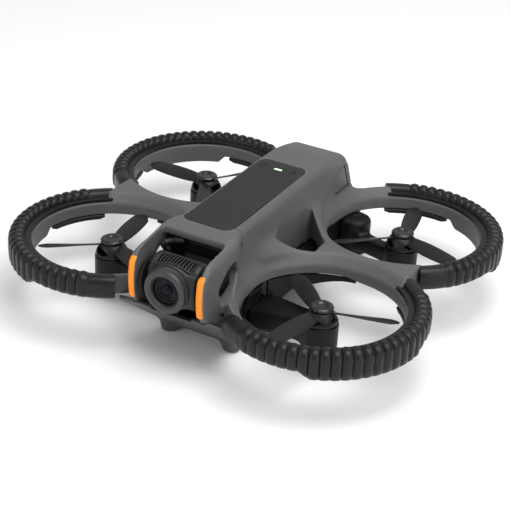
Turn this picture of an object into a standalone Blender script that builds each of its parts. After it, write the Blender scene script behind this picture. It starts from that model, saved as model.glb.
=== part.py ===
"""A small ducted racing drone: four propellers inside guard rings with ribbed rubber bumpers, a narrow
fuselage with a tilting nose camera in a cage, and a battery that slides out of the tail.

Run in Blender 4.5. Metres, +Z up. The nose points to -Y and the drone's own left side is +X. The origin is
on the ground, midway between the four propeller axes. Sizes below are in millimetres.
"""

import math

import bmesh
import bpy
from mathutils import Matrix, Vector

MM = 0.001

# General fits.
GAP = 0.3
LOOSE = 0.5

# Propellers and motors.
PROP_RADIUS = 38.1
PROP_BLADES = 3
PROP_HUB_RADIUS = 5.2
PROP_Z = 30.6
BLADE_CHORD = 10.0
BLADE_THICK = 1.1
CAP_RADIUS = 6.0
CAP_TOP = 34.7
CAP_HEIGHT = 1.8
HUB_HEIGHT = 4.3
BELL_RADIUS = 6.9
BELL_WALL = 1.2
SHAFT_RADIUS = 1.1
STATOR_HEIGHT = 8.0
POD_RADIUS = 9.0
POD_WALL = 1.2
POD_FLOOR = 2.0
POD_BOTTOM = 12.0
POD_TOP = 25.5

# Guard rings and their bumpers.
TIP_CLEARANCE = 2.4
RING_WALL = 6.0
RING_BOTTOM = 27.5
RING_TOP = 36.5
WEB_TOP = 39.6
WEB_RISE = 5.0
SKIRT_DEPTH = 4.0
SKIRT_START = 3.0
SKIRT_END = 68.0
BUMPER_START = -56.0
BUMPER_END = 126.0
BUMPER_THICK = 6.8
BUMPER_COVER = 3.4
STRIP_HEIGHT = 2.6
STRIP_WIDTH = 1.8
RING_APART = 1.0
DUCT_TO_BODY = 3.5
DUCT_UNDER_CAGE = 0.8

# Fuselage.
BODY_HALF = 17.0
BODY_FRONT = -52.0
BODY_BOTTOM = 27.0
BODY_TOP = 66.0
BODY_CORNER = 6.0
TAIL_TOP_Y = 66.6
TAIL_TOP_Z = 58.0
TAIL_LEAN = 0.45
WALL = 2.1
PANEL_HALF = 13.7
PANEL_FRONT = -57.1
PANEL_REAR = 24.2
PANEL_THICK = 1.2
PANEL_CORNER = 5.0

# Nose cage, chin and lower hull.
CAGE_MARGIN = 3.7
CAGE_WALL = 3.5
CAGE_FRONT = -92.8
STRIP_FACE = 0.8
CHIN_TOP_Z = 30.6
CHIN_FRONT = -90.9
CHIN_BACK = -53.6
CHIN_WALL = 1.8
CHIN_INSET = 0.9
FLARE_WIDTH = 12.2
FOOT_INSET = 1.1
FOOT_RADIUS = 4.6
HULL_INSET = 2.0
HULL_FRONT = -53.0
HULL_BACK = 74.0
HULL_BOTTOM = 3.6
HULL_WALL = 2.4
VENT_LENGTH = 18.0
VENT_HEIGHT = 7.6

# Camera.
TILT_Y = -81.0
TILT_Z = 43.5
HOUSING_HALF = 14.1
HOUSING_HEIGHT = 24.4
HOUSING_FRONT = 7.0
HOUSING_BACK = 9.0
LENS_RING_RADIUS = 11.3
LENS_RADIUS = 7.4
LENS_REACH = 12.5
TILT_MOTOR_RADIUS = 10.0
EAR_THICK = 1.2
CABLE_RADIUS = 1.6
FIN_COUNT = 12
BOARD_MARGIN = 2.5
BOARD_THICK = 1.6

# Battery.
BATTERY_FRONT = -8.0
BATTERY_BOTTOM = 31.0
BATTERY_TOP = 56.8
BUTTON_TRAVEL = 1.2
BUTTON_DEPTH = 2.9
POWER_RADIUS = 3.2
POWER_TRAVEL = 0.6

# Sizes that follow from those above.
RING_INNER = PROP_RADIUS + TIP_CLEARANCE
RING_OUTER = RING_INNER + RING_WALL
CAGE_INNER = HOUSING_HALF + CAGE_MARGIN
CAGE_HALF = CAGE_INNER + CAGE_WALL
HULL_HALF = CAGE_HALF - HULL_INSET
CHIN_HALF = CAGE_HALF - CHIN_INSET
FOOT_X = HULL_HALF - FOOT_INSET
TRACK_HALF = RING_INNER + max(BODY_HALF + DUCT_TO_BODY, CAGE_HALF - DUCT_UNDER_CAGE)
BASE_HALF = RING_OUTER + RING_APART / 2
BATTERY_HALF = BODY_HALF - WALL - LOOSE
HULL_TOP = BODY_BOTTOM - GAP
CORNERS = {
    "front_left": (1, -1),
    "front_right": (-1, -1),
    "rear_left": (1, 1),
    "rear_right": (-1, 1),
}
SIDES = {"left": 1, "right": -1}


def clear_scene():
    for old in list(bpy.data.objects):
        bpy.data.objects.remove(old, do_unlink=True)


def new_collection(name):
    made = bpy.data.collections.new(name)
    bpy.context.scene.collection.children.link(made)
    return made


clear_scene()
DRONE = new_collection("fpv_racing_drone")
CUTTERS = new_collection("cutters")
CUTTERS.hide_render = True


# ---------------------------------------------------------------- materials


def material(name, colour, roughness, metallic=0.0, alpha=1.0, glow=0.0):
    made = bpy.data.materials.new(name)
    made.use_nodes = True
    shader = made.node_tree.nodes["Principled BSDF"]
    shader.inputs["Base Color"].default_value = (*colour, 1.0)
    shader.inputs["Roughness"].default_value = roughness
    shader.inputs["Metallic"].default_value = metallic
    shader.inputs["Alpha"].default_value = alpha
    shader.inputs["Emission Color"].default_value = (*colour, 1.0)
    shader.inputs["Emission Strength"].default_value = glow
    return made


SHELL_GREY = material("shell_grey", (0.13, 0.13, 0.135), 0.55)
BLACK_PLASTIC = material("black_plastic", (0.02, 0.02, 0.021), 0.45)
RUBBER = material("bumper_rubber", (0.022, 0.022, 0.022), 0.6)
PANEL_GREY = material("panel_grey", (0.055, 0.055, 0.057), 0.4)
ORANGE = material("marker_orange", (0.93, 0.3, 0.05), 0.35)
PROP_BLACK = material("propeller_black", (0.03, 0.03, 0.03), 0.35)
GLOSS_BLACK = material("hub_gloss_black", (0.015, 0.015, 0.015), 0.2)
MOTOR_METAL = material("motor_metal", (0.1, 0.1, 0.105), 0.35, 0.8)
COPPER = material("copper_windings", (0.5, 0.2, 0.08), 0.4, 1.0)
CAMERA_GREY = material("camera_grey", (0.04, 0.04, 0.042), 0.45)
LENS_GREY = material("lens_ring_grey", (0.09, 0.09, 0.095), 0.4, 0.3)
LENS_GLASS = material("lens_glass", (0.005, 0.005, 0.008), 0.05)
CABLE_BLACK = material("cable_black", (0.01, 0.01, 0.01), 0.5)
BOARD_GREEN = material("circuit_board", (0.02, 0.09, 0.05), 0.5)
CONNECTOR = material("connector_black", (0.02, 0.02, 0.02), 0.4)
CELL_SILVER = material("cell_foil", (0.5, 0.5, 0.52), 0.35, 0.6)
LIGHT_GREEN = material("status_light", (0.4, 1.0, 0.4), 0.3, 0.0, 1.0, 2.0)


# ---------------------------------------------------------------- modelling helpers


def link(obj, paint=None, helper=False):
    """Puts a new object in the drone's collection, or among the cutters."""
    (CUTTERS if helper else DRONE).objects.link(obj)
    if helper:
        obj.hide_render = True
        obj.display_type = "WIRE"
    if paint:
        obj.data.materials.append(paint)
    return obj


def from_bmesh(name, shape, paint=None, helper=False):
    bmesh.ops.recalc_face_normals(shape, faces=shape.faces)
    mesh = bpy.data.meshes.new(name)
    shape.to_mesh(mesh)
    shape.free()
    return link(bpy.data.objects.new(name, mesh), paint, helper)


def bevel(obj, width, segments=2, angle=40):
    step = obj.modifiers.new("rounded", "BEVEL")
    step.width = width * MM
    step.segments = segments
    step.limit_method = "ANGLE"
    step.angle_limit = math.radians(angle)
    return obj


def boolean(obj, other, operation):
    step = obj.modifiers.new(other.name, "BOOLEAN")
    step.operation = operation
    step.object = other
    return obj


def cut(obj, *others):
    for other in others:
        boolean(obj, other, "DIFFERENCE")
    return obj


def join(obj, *others):
    for other in others:
        boolean(obj, other, "UNION")
    return obj


def block(name, low, high, paint=None, helper=False):
    """A box between two corners, in millimetres."""
    shape = bmesh.new()
    bmesh.ops.create_cube(shape, size=1.0)
    size = [(b - a) * MM for a, b in zip(low, high)]
    middle = [(a + b) / 2 * MM for a, b in zip(low, high)]
    bmesh.ops.scale(shape, vec=size, verts=shape.verts)
    bmesh.ops.translate(shape, vec=middle, verts=shape.verts)
    return from_bmesh(name, shape, paint, helper)


def turn_to(direction):
    """The rotation that takes +Z to a direction."""
    return Vector(direction).to_track_quat("Z", "Y").to_matrix().to_4x4()


def rod(name, centre, radius, length, direction=(0, 0, 1), paint=None, helper=False, sides=24):
    """A cylinder about a centre point, along a direction."""
    shape = bmesh.new()
    bmesh.ops.create_cone(
        shape,
        cap_ends=True,
        segments=sides,
        radius1=radius * MM,
        radius2=radius * MM,
        depth=length * MM,
    )
    place = Matrix.Translation(Vector(centre) * MM) @ turn_to(direction)
    bmesh.ops.transform(shape, matrix=place, verts=shape.verts)
    return from_bmesh(name, shape, paint, helper)


def turned(name, profile, centre, paint=None, helper=False, steps=24, direction=(0, 0, 1)):
    """A turned solid. Its profile holds (radius, height) points down its outer side."""
    mesh = bpy.data.meshes.new(name)
    points = [(radius * MM, 0.0, height * MM) for radius, height in profile]
    closed = profile[0][0] > 0
    count = len(points)
    edges = [(i, (i + 1) % count) for i in range(count if closed else count - 1)]
    mesh.from_pydata(points, edges, [])
    obj = link(bpy.data.objects.new(name, mesh), paint, helper)
    obj.matrix_world = Matrix.Translation(Vector(centre) * MM) @ turn_to(direction)
    step = obj.modifiers.new("turned", "SCREW")
    step.steps = steps
    step.render_steps = steps
    step.use_merge_vertices = True
    step.merge_threshold = 0.00001
    step.use_smooth_shade = True
    return obj


def slab(name, outline, low, high, axis, paint=None, helper=False):
    """A flat outline pulled out between two places along an axis.

    The outline holds (y, z) points along X, (x, z) points along Y and (x, y) points along Z.
    """
    curve = bpy.data.curves.new(name, "CURVE")
    curve.dimensions = "2D"
    curve.fill_mode = "BOTH"
    curve.extrude = (high - low) / 2 * MM
    spline = curve.splines.new("POLY")
    spline.points.add(len(outline) - 1)
    for point, (u, v) in zip(spline.points, outline):
        point.co = (u * MM, v * MM, 0.0, 1.0)
    spline.use_cyclic_u = True
    guide = bpy.data.objects.new(name, curve)
    bpy.context.scene.collection.objects.link(guide)
    bpy.context.view_layer.update()
    graph = bpy.context.evaluated_depsgraph_get()
    mesh = bpy.data.meshes.new_from_object(guide.evaluated_get(graph))
    bpy.data.objects.remove(guide, do_unlink=True)
    shape = bmesh.new()
    shape.from_mesh(mesh)
    bpy.data.meshes.remove(mesh)
    bmesh.ops.remove_doubles(shape, verts=shape.verts, dist=1e-6)
    middle = (low + high) / 2 * MM
    frames = {
        "X": Matrix(((0, 0, 1, middle), (1, 0, 0, 0), (0, 1, 0, 0), (0, 0, 0, 1))),
        "Y": Matrix(((1, 0, 0, 0), (0, 0, 1, middle), (0, 1, 0, 0), (0, 0, 0, 1))),
        "Z": Matrix(((1, 0, 0, 0), (0, 1, 0, 0), (0, 0, 1, middle), (0, 0, 0, 1))),
    }
    bmesh.ops.transform(shape, matrix=frames[axis], verts=shape.verts)
    return from_bmesh(name, shape, paint, helper)


def loft(name, sections, paint=None, helper=False, loop=False):
    """Skins between sections with the same number of points, and caps the two ends."""
    shape = bmesh.new()
    rings = [[shape.verts.new(Vector(p) * MM) for p in section] for section in sections]
    count = len(rings[0])
    pairs = list(zip(rings, rings[1:]))
    if loop:
        pairs.append((rings[-1], rings[0]))
    for first, second in pairs:
        for i in range(count):
            j = (i + 1) % count
            shape.faces.new((first[i], first[j], second[j], second[i]))
    if not loop:
        shape.faces.new(rings[0])
        shape.faces.new(list(reversed(rings[-1])))
    return from_bmesh(name, shape, paint, helper)


def rounded_rectangle(x0, x1, y0, y1, radius, steps=4):
    """An outline with round corners."""
    corners = [(x1, y1, 0), (x0, y1, 90), (x0, y0, 180), (x1, y0, 270)]
    points = []
    for x, y, start in corners:
        cx = x - math.copysign(radius, x - (x0 + x1) / 2)
        cy = y - math.copysign(radius, y - (y0 + y1) / 2)
        for i in range(steps + 1):
            a = math.radians(start + 90 * i / steps)
            points.append((cx + radius * math.cos(a), cy + radius * math.sin(a)))
    return points


def smooth(value, start, end):
    """0 before start, 1 after end, and an S-curve between them."""
    t = min(max((value - start) / (end - start), 0.0), 1.0)
    return t * t * (3 - 2 * t)


def at_rotor(corner, radius, angle, height):
    """A point about a propeller axis. Angle 0 points away from the fuselage, and 90 towards the nose
    on the front pair and towards the tail on the rear pair."""
    side, end = CORNERS[corner]
    a = math.radians(angle)
    x = side * (TRACK_HALF + radius * math.cos(a))
    y = end * (BASE_HALF + radius * math.sin(a))
    return x, y, height


# ---------------------------------------------------------------- guard rings


def skirt_at(angle):
    """How far the ring's wall hangs below its usual edge."""
    ramp = 7.0
    rise = smooth(angle, SKIRT_START - ramp, SKIRT_START)
    fall = smooth(angle, SKIRT_END, SKIRT_END + ramp)
    return SKIRT_DEPTH * (rise - fall)


def web_reach(angle):
    """The ring's outer radius, which grows inboard until it meets the fuselage or the next ring."""
    a = math.radians(angle)
    reach = 60.0
    if math.sin(a) < -0.01:
        reach = min(reach, (BASE_HALF - GAP / 2) / -math.sin(a))
    if math.cos(a) < -0.01:
        side = CAGE_HALF if angle > 0 else BODY_HALF
        reach = min(reach, (TRACK_HALF - side - GAP) / -math.cos(a))
    if BUMPER_START - 8 < angle < BUMPER_END + 8:
        return RING_OUTER
    if angle > 0 and -math.cos(a) * RING_OUTER < TRACK_HALF - CAGE_HALF - GAP:
        return RING_OUTER
    return reach


def recess_cutter():
    """The three-cornered hollow where the two webs of one side meet the fuselage."""
    cutters = {}
    inboard = TRACK_HALF - RING_INNER
    outboard = inboard + 15.5
    corners = ((inboard, 21.0), (outboard, 3.0), (outboard, -7.5), (outboard - 6.0, -10.0), (inboard, -8.0))
    for name, side in SIDES.items():
        outline = [(side * x, y) for x, y in corners]
        cutters[name] = slab(f"{name}_web_recess", outline, RING_BOTTOM - 5, WEB_TOP + 12, "Z", helper=True)
    return cutters


def guard(corner, recess):
    sections = []
    steps = 60
    for i in range(steps):
        angle = -180 + 360 * i / steps
        covered = smooth(angle, BUMPER_START - 10, BUMPER_START - 3)
        covered -= smooth(angle, BUMPER_END + 3, BUMPER_END + 10)
        top = WEB_TOP - (WEB_TOP - RING_TOP) * covered
        low = RING_BOTTOM - skirt_at(angle)
        outer = max(web_reach(angle), RING_INNER + 1.5)
        rise = WEB_RISE * smooth(outer, RING_OUTER + 2, RING_OUTER + 18)
        profile = (
            (RING_INNER, low),
            (outer, low),
            (outer, top + rise),
            (min(RING_INNER + 1.6, outer - 0.5), top),
            (RING_INNER, top - 1.6),
        )
        sections.append([at_rotor(corner, r, angle, z) for r, z in profile])
    obj = loft(f"{corner}_guard", sections, SHELL_GREY, loop=True)
    return cut(obj, recess)


def bumper(corner):
    """A rubber sleeve that hooks over the ring's top edge and covers its outer wall."""
    sections = []
    steps = 32
    inner = RING_OUTER + GAP
    outer = RING_OUTER + BUMPER_THICK
    lip = RING_INNER + 0.8
    for i in range(steps + 1):
        angle = BUMPER_START + (BUMPER_END - BUMPER_START) * i / steps
        low = RING_BOTTOM - 0.6 - skirt_at(angle) * 0.75
        under = RING_TOP + GAP
        over = RING_TOP + BUMPER_COVER
        profile = (
            (lip, under),
            (inner, under),
            (inner, low),
            (outer - 2.0, low),
            (outer, low + 3.0),
            (outer, over - 4.2),
            (outer - 2.2, over - 0.9),
            (inner - 0.3, over),
            (lip + 1.8, over - 0.3),
            (lip, over - 1.6),
        )
        sections.append([at_rotor(corner, r, angle, z) for r, z in profile])
    return loft(f"{corner}_bumper", sections, RUBBER)


def lip_strip(corner, place, start, end):
    """A soft strip under the ring's inner edge, beside the skirt."""
    sections = []
    steps = 10
    top = RING_BOTTOM - GAP
    for i in range(steps + 1):
        angle = start + (end - start) * i / steps
        profile = (
            (RING_INNER, top - STRIP_HEIGHT),
            (RING_INNER + STRIP_WIDTH, top - STRIP_HEIGHT),
            (RING_INNER + STRIP_WIDTH, top),
            (RING_INNER, top),
        )
        sections.append([at_rotor(corner, r, angle, z) for r, z in profile])
    return loft(f"{corner}_{place}_strip", sections, BLACK_PLASTIC)


# ---------------------------------------------------------------- fuselage


def roof(y):
    """The height of the fuselage's roof along its length."""
    front_drop = 1.6 * smooth(-y, -PANEL_REAR, -BODY_FRONT)
    tail_drop = 5.5 * smooth(y, PANEL_REAR + 10, TAIL_TOP_Y + 6) ** 1.3
    return BODY_TOP - front_drop - tail_drop


def tail_y(z):
    """Where the leaning tail face stands at a height."""
    return TAIL_TOP_Y + (TAIL_TOP_Z - z) * TAIL_LEAN


def body_section(y, tail=False):
    top = roof(y)
    half = BODY_HALF
    points = [(half, BODY_BOTTOM)]
    for i in range(5):
        a = math.radians(90 * i / 4)
        points.append((half - BODY_CORNER * (1 - math.cos(a)), top - BODY_CORNER * (1 - math.sin(a))))
    points += [(-x, z) for x, z in reversed(points)]
    return [(x, tail_y(z) if tail else y, z) for x, z in points]


def panel_outline(grow=0.0):
    return rounded_rectangle(
        -PANEL_HALF - grow, PANEL_HALF + grow, PANEL_FRONT - grow, PANEL_REAR + grow, PANEL_CORNER + grow
    )


def panel_blank(name, grow, low, high, paint=None, helper=False):
    """The roof panel's outline, leaning with the roof."""
    obj = slab(name, panel_outline(grow), low, high, "Z", paint, helper)
    drop = roof(PANEL_REAR) - roof(BODY_FRONT)
    lean = drop / (PANEL_REAR - BODY_FRONT)
    for vertex in obj.data.vertices:
        vertex.co.z += lean * (vertex.co.y - PANEL_REAR * MM)
    return obj


def latch_outline(grow=0.0, open_to=None):
    """The latch button in side view. Its hole in the shell runs out to the tail."""
    points = [(50.3 - grow, 53.3 + grow), (62.4 + grow, 55.4 + grow)]
    if open_to:
        points += [(open_to, 55.4 + grow), (open_to, 40.6 - grow)]
    else:
        points += [(69.6 + grow, 40.6 - grow)]
    return points + [(52.8 - grow, 40.6 - grow)]


def fuselage(panel_recess):
    stations = [BODY_FRONT, -20.0, 10.0, 30.0, 42.0, 52.0, 60.0]
    sections = [body_section(y) for y in stations]
    sections.append(body_section(TAIL_TOP_Y, tail=True))
    obj = loft("fuselage_shell", sections, SHELL_GREY)
    inner = BODY_HALF - WALL
    low, high = (-inner, -70, BATTERY_BOTTOM - LOOSE), (inner, 90, BATTERY_TOP + LOOSE)
    bay = block("battery_bay", low, high, helper=True)
    attic = block("board_bay", (-12.5, -70, BATTERY_TOP - 1), (12.5, 38, BATTERY_TOP + 5), helper=True)
    cut(obj, bay, attic, panel_recess)
    for name, side in SIDES.items():
        low, high = sorted((side * (inner - 2), side * (BODY_HALF + 5)))
        outline = latch_outline(GAP + 0.1, open_to=90)
        cut(obj, slab(f"{name}_latch_opening", outline, low, high, "X", helper=True))
    return obj


def top_panel():
    top = roof(PANEL_REAR)
    obj = panel_blank("top_panel", 0.0, top - PANEL_THICK, top, PANEL_GREY)
    light_slot = block("light_slot", (-2.7, 15.2, top - 4), (2.7, 17.8, top + 4), helper=True)
    return cut(obj, light_slot)


def status_light():
    top = roof(PANEL_REAR)
    return block("status_light", (-2.4, 15.5, top - PANEL_THICK), (2.4, 17.5, top - 0.25), LIGHT_GREEN)


# ---------------------------------------------------------------- nose


def cage_side_outline():
    """The cage from the side: roof, rounded brow, upright front and chin seam."""
    top = roof(BODY_FRONT)
    return [
        (BODY_FRONT - GAP, top),
        (-60.0, top - 0.5),
        (-68.0, top - 1.9),
        (CAGE_FRONT + 12.6, top - 3.9),
        (CAGE_FRONT + 6.2, top - 6.4),
        (CAGE_FRONT + 2.2, top - 10.0),
        (CAGE_FRONT + 0.5, 50.0),
        (CAGE_FRONT, 45.0),
        (CAGE_FRONT + 0.4, 39.0),
        (CHIN_FRONT + 0.6, CHIN_TOP_Z + 2.0),
        (CHIN_FRONT + 2.1, CHIN_TOP_Z + GAP),
        (CHIN_FRONT + 5.6, BODY_BOTTOM),
        (BODY_FRONT - GAP, BODY_BOTTOM),
    ]


def cage_plan_outline():
    right = [
        (BODY_HALF, BODY_FRONT + 1.0),
        (BODY_HALF, -53.5),
        (CAGE_HALF - 1.0, -61.0),
        (CAGE_HALF, -67.0),
        (CAGE_HALF, CAGE_FRONT + 4.6),
        (CAGE_HALF - 1.2, CAGE_FRONT - 5.4),
    ]
    return right + [(-x, y) for x, y in reversed(right)]


def marker_outline(inset, outset):
    """A curved band just ahead of the cage's front edge."""
    reaches = ((1.4, 54.6), (0.5, 50.0), (0.0, 45.0), (0.4, 39.0), (1.7, 34.4))
    front = [(CAGE_FRONT + back, z) for back, z in reaches]
    ahead = [(y - outset, z) for y, z in front]
    behind = [(y + inset, z) for y, z in reversed(front)]
    return ahead + behind


def nose_cage(panel_recess):
    obj = slab("nose_cage", cage_side_outline(), -CAGE_HALF, CAGE_HALF, "X", SHELL_GREY)
    plan = slab("cage_plan", cage_plan_outline(), 20.0, 80.0, "Z", helper=True)
    boolean(obj, plan, "INTERSECT")
    mouth = [(-100, 20), (-66.5, 20), (-66.5, 80), (-100, 80)]
    under = [(-67.5, 20), (-50, 20), (-50, 59.0), (-67.5, 59.0)]
    window = [(-61.7, 53.0), (-56.4, 44.4), (-68.1, 37.4), (-77.4, 36.6), (-78.0, 44.0), (-68.3, 52.4)]
    cut(
        obj,
        slab("cage_mouth", mouth, -CAGE_INNER, CAGE_INNER, "X", helper=True),
        slab("cage_throat", under, -BODY_HALF + WALL, BODY_HALF - WALL, "X", helper=True),
        block("yoke_pocket", (-CAGE_INNER, -66.6, 20), (CAGE_INNER, -61.6, 59.0), helper=True),
        slab("cage_windows", window, -40, 40, "X", helper=True),
        panel_recess,
    )
    for name, side in SIDES.items():
        low, high = sorted((side * (CAGE_INNER + 0.6), side * 30))
        cut(obj, slab(f"{name}_marker_seat", marker_outline(0.8, 9.0), low, high, "X", helper=True))
    return obj


def marker_strip(name, side):
    low, high = sorted((side * (CAGE_INNER + 0.7), side * (CAGE_HALF - 0.9)))
    return slab(f"{name}_marker_strip", marker_outline(0.8 - GAP, STRIP_FACE), low, high, "X", ORANGE)


def foot_profile(top):
    """A round foot from its top down to a sole with a rounded edge."""
    edge, sole = FOOT_RADIUS - 1.0, FOOT_RADIUS - 2.6
    return [(0, top), (FOOT_RADIUS, top), (FOOT_RADIUS, 2.4), (edge, 0.7), (sole, 0.0), (0, 0.0)]


def chin():
    """The sloping chin: a scoop under the camera, side flares out to the rings, and the front feet."""
    back = CHIN_BACK
    top = HULL_TOP
    toe = back - 1.4
    slope = (CHIN_TOP_Z - 2.6) / (CHIN_FRONT - toe)
    outer = [
        (CHIN_FRONT, CHIN_TOP_Z),
        (toe, 2.6),
        (back, 2.6),
        (back, top - 0.2),
        (CHIN_FRONT + 5.4, top - 0.2),
        (CHIN_FRONT + 1.8, CHIN_TOP_Z - 0.2),
    ]
    drop = CHIN_WALL * 1.45
    ahead, behind = CHIN_FRONT - 3.0, back - CHIN_WALL
    inner = [
        (ahead, CHIN_TOP_Z + (ahead - CHIN_FRONT) * slope + drop),
        (behind, CHIN_TOP_Z + (behind - CHIN_FRONT) * slope + drop),
        (behind, top + 20),
        (ahead, top + 20),
    ]
    half = CHIN_HALF
    obj = slab("chin_plate", outer, -half, half, "X", SHELL_GREY)
    # The scoop keeps the walls and leaves the slope CHIN_WALL thick.
    scoop = slab("chin_scoop", inner, -half + CHIN_WALL + 0.8, half - CHIN_WALL - 0.8, "X", helper=True)
    swing_width = 2 * LENS_RING_RADIUS + 2 * LOOSE
    swing = rod("lens_swing", (0, TILT_Y, TILT_Z), LENS_SWING, swing_width, (1, 0, 0), helper=True, sides=48)
    for name, side in SIDES.items():
        z_out = RING_BOTTOM - 2.6
        run = (z_out - CHIN_TOP_Z) / slope
        flare = [
            (side * (half - 1.5), back - 3.0, 4.1),
            (side * (half - 1.5), CHIN_FRONT + 3.4, z_out + 0.3),
            (side * (CAGE_HALF + FLARE_WIDTH), CHIN_FRONT + run, z_out),
        ]
        inside = [(x, y + 1.5, z + 1.5) for x, y, z in flare]
        outside = [(x, y + 0.1, z + 0.1) for x, y, z in flare]
        join(obj, loft(f"{name}_flare", [outside, inside], helper=True))
        place = (side * FOOT_X, back - 4.4, 0)
        join(obj, turned(f"{name}_front_foot", foot_profile(6.0), place, helper=True, steps=16))
    return cut(obj, scoop, swing)


def hull():
    """The lower hull: a tub that carries the arms and the rear feet."""
    low, high = (-HULL_HALF, HULL_FRONT, HULL_BOTTOM), (HULL_HALF, HULL_BACK, HULL_TOP)
    obj = block("lower_hull", low, high, BLACK_PLASTIC)
    bevel(obj, 3.0, 2, 60)
    for name, side in SIDES.items():
        place = (side * (HULL_HALF - FOOT_RADIUS - 0.6), HULL_BACK - 8.0, 0)
        join(obj, turned(f"{name}_rear_foot", foot_profile(8.0), place, helper=True, steps=16))
    half = HULL_HALF - HULL_WALL
    low = (-half, HULL_FRONT + HULL_WALL, HULL_BOTTOM + HULL_WALL)
    high = (half, HULL_BACK - HULL_WALL, HULL_TOP + 10)
    return cut(obj, block("hull_hollow", low, high, helper=True))


def vent(name, side):
    """A slatted cooling grille on the hull's side, above the front arm."""
    low, high = sorted((side * (HULL_HALF + GAP), side * (HULL_HALF + 1.6)))
    top = HULL_TOP - 0.6
    front = -49.5
    lean = 4.0
    outline = [
        (front, top - VENT_HEIGHT),
        (front + VENT_LENGTH - lean, top - VENT_HEIGHT),
        (front + VENT_LENGTH, top),
        (front + lean, top),
    ]
    obj = slab(f"{name}_side_vent", outline, low, high, "X", BLACK_PLASTIC)
    slots = 4
    pitch = (VENT_LENGTH - lean) / (slots + 0.5)
    for i in range(slots):
        start = front + 1.2 + i * pitch
        slot = [
            (start, top - VENT_HEIGHT + 1.0),
            (start + pitch * 0.5, top - VENT_HEIGHT + 1.0),
            (start + pitch * 0.5 + lean - 1.0, top - 1.0),
            (start + lean - 1.0, top - 1.0),
        ]
        cut(obj, slab(f"{name}_vent_slot_{i + 1}", slot, -40, 40, "X", helper=True))
    return obj


# ---------------------------------------------------------------- arms, motors and propellers


def beam_section(corner, centre, across, half_width, low, high):
    """A rounded beam section that stands across the beam's direction."""
    side, end = CORNERS[corner]
    soft = min(2.0, (high - low) / 3)
    points = []
    for u, v in (
        (-half_width, low + soft),
        (-half_width + soft, low),
        (half_width - soft, low),
        (half_width, low + soft),
        (half_width, high - soft),
        (half_width - soft, high),
        (-half_width + soft, high),
        (-half_width, high - soft),
    ):
        x = centre[0] + across[0] * u
        y = centre[1] + across[1] * u
        points.append((side * x, end * y, v))
    return points


def arm(corner):
    """A motor arm from the hull's side to a cup that holds the motor."""
    side, end = CORNERS[corner]
    root_x = HULL_HALF + GAP
    if end < 0:
        stations = (
            ((root_x, 36.0), 10.0, 6.0, 17.0),
            ((root_x + 9, 37.5), 9.2, 8.0, 18.0),
            ((root_x + 22, 41.5), 7.6, 11.0, 20.5),
            ((TRACK_HALF - 6, BASE_HALF - 1.5), 6.4, POD_BOTTOM + 0.5, 22.5),
        )
    else:
        stations = (
            ((root_x, 64.5), 8.6, 6.0, 25.4),
            ((root_x + 6, 63.5), 8.2, 6.5, 25.8),
            ((root_x + 10.5, 61.8), 6.4, 8.0, 22.5),
            ((root_x + 15, 59.8), 4.6, 9.5, 19.0),
            ((TRACK_HALF - 6, BASE_HALF + 2.5), 4.4, POD_BOTTOM + 0.5, 20.5),
        )
    obj = rod(
        f"{corner}_arm",
        at_rotor(corner, 0, 0, (POD_BOTTOM + POD_TOP) / 2),
        POD_RADIUS,
        POD_TOP - POD_BOTTOM,
        paint=BLACK_PLASTIC,
    )
    sections = []
    for i, (centre, half, low, high) in enumerate(stations):
        across = (0.0, 1.0) if i == 0 else (0.2 * -end, 1.0)
        sections.append(beam_section(corner, centre, across, half, low, high))
    join(obj, loft(f"{corner}_beam", sections, helper=True))
    middle = (POD_BOTTOM + POD_FLOOR + POD_TOP + 20) / 2
    height = POD_TOP + 20 - POD_BOTTOM - POD_FLOOR
    hollow = rod(f"{corner}_cup", at_rotor(corner, 0, 0, middle), POD_RADIUS - POD_WALL, height, helper=True)
    return cut(obj, hollow)


def stator(corner):
    low = POD_BOTTOM + POD_FLOOR + GAP
    radius = BELL_RADIUS - BELL_WALL - LOOSE
    bore = SHAFT_RADIUS + LOOSE
    profile = [
        (bore, low + STATOR_HEIGHT),
        (radius, low + STATOR_HEIGHT),
        (radius, low),
        (bore, low),
    ]
    return turned(f"{corner}_stator", profile, at_rotor(corner, 0, 0, 0), COPPER, steps=18)


def bell(corner):
    """The motor's turning bell, with its shaft inside and a domed top."""
    top = PROP_Z - HUB_HEIGHT / 2 - GAP
    low = POD_BOTTOM + POD_FLOOR + 1.0
    roof_z = POD_BOTTOM + POD_FLOOR + GAP + STATOR_HEIGHT + LOOSE
    profile = [
        (0, top),
        (4.4, top),
        (BELL_RADIUS - 0.6, top - 2.0),
        (BELL_RADIUS, top - 4.0),
        (BELL_RADIUS, low),
        (BELL_RADIUS - BELL_WALL, low),
        (BELL_RADIUS - BELL_WALL, roof_z),
        (SHAFT_RADIUS, roof_z),
        (SHAFT_RADIUS, low),
        (0, low),
    ]
    return turned(f"{corner}_motor_bell", profile, at_rotor(corner, 0, 0, 0), MOTOR_METAL, steps=20)


def blade_section(radius, turn):
    """One section of a blade, across the blade at a radius."""
    t = (radius - PROP_HUB_RADIUS) / (PROP_RADIUS - PROP_HUB_RADIUS)
    tip = max(1 - max(t - 0.86, 0) / 0.14, 0) ** 0.5
    chord = BLADE_CHORD * (0.62 + 0.9 * t * (1.15 - t)) * (0.35 + 0.65 * tip)
    pitch = math.radians(30 - 20 * max(t, 0))
    thick = BLADE_THICK * (1.15 - 0.45 * max(t, 0))
    points = []
    for u, v in ((-0.5, 0), (-0.2, 0.5), (0.2, 0.45), (0.5, 0), (0.2, -0.3), (-0.2, -0.4)):
        across = u * chord * math.cos(pitch) - v * thick * math.sin(pitch) + 1.2 * t
        height = u * chord * math.sin(pitch) + v * thick * math.cos(pitch)
        points.append((radius, turn * across, PROP_Z + height))
    return points


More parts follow.
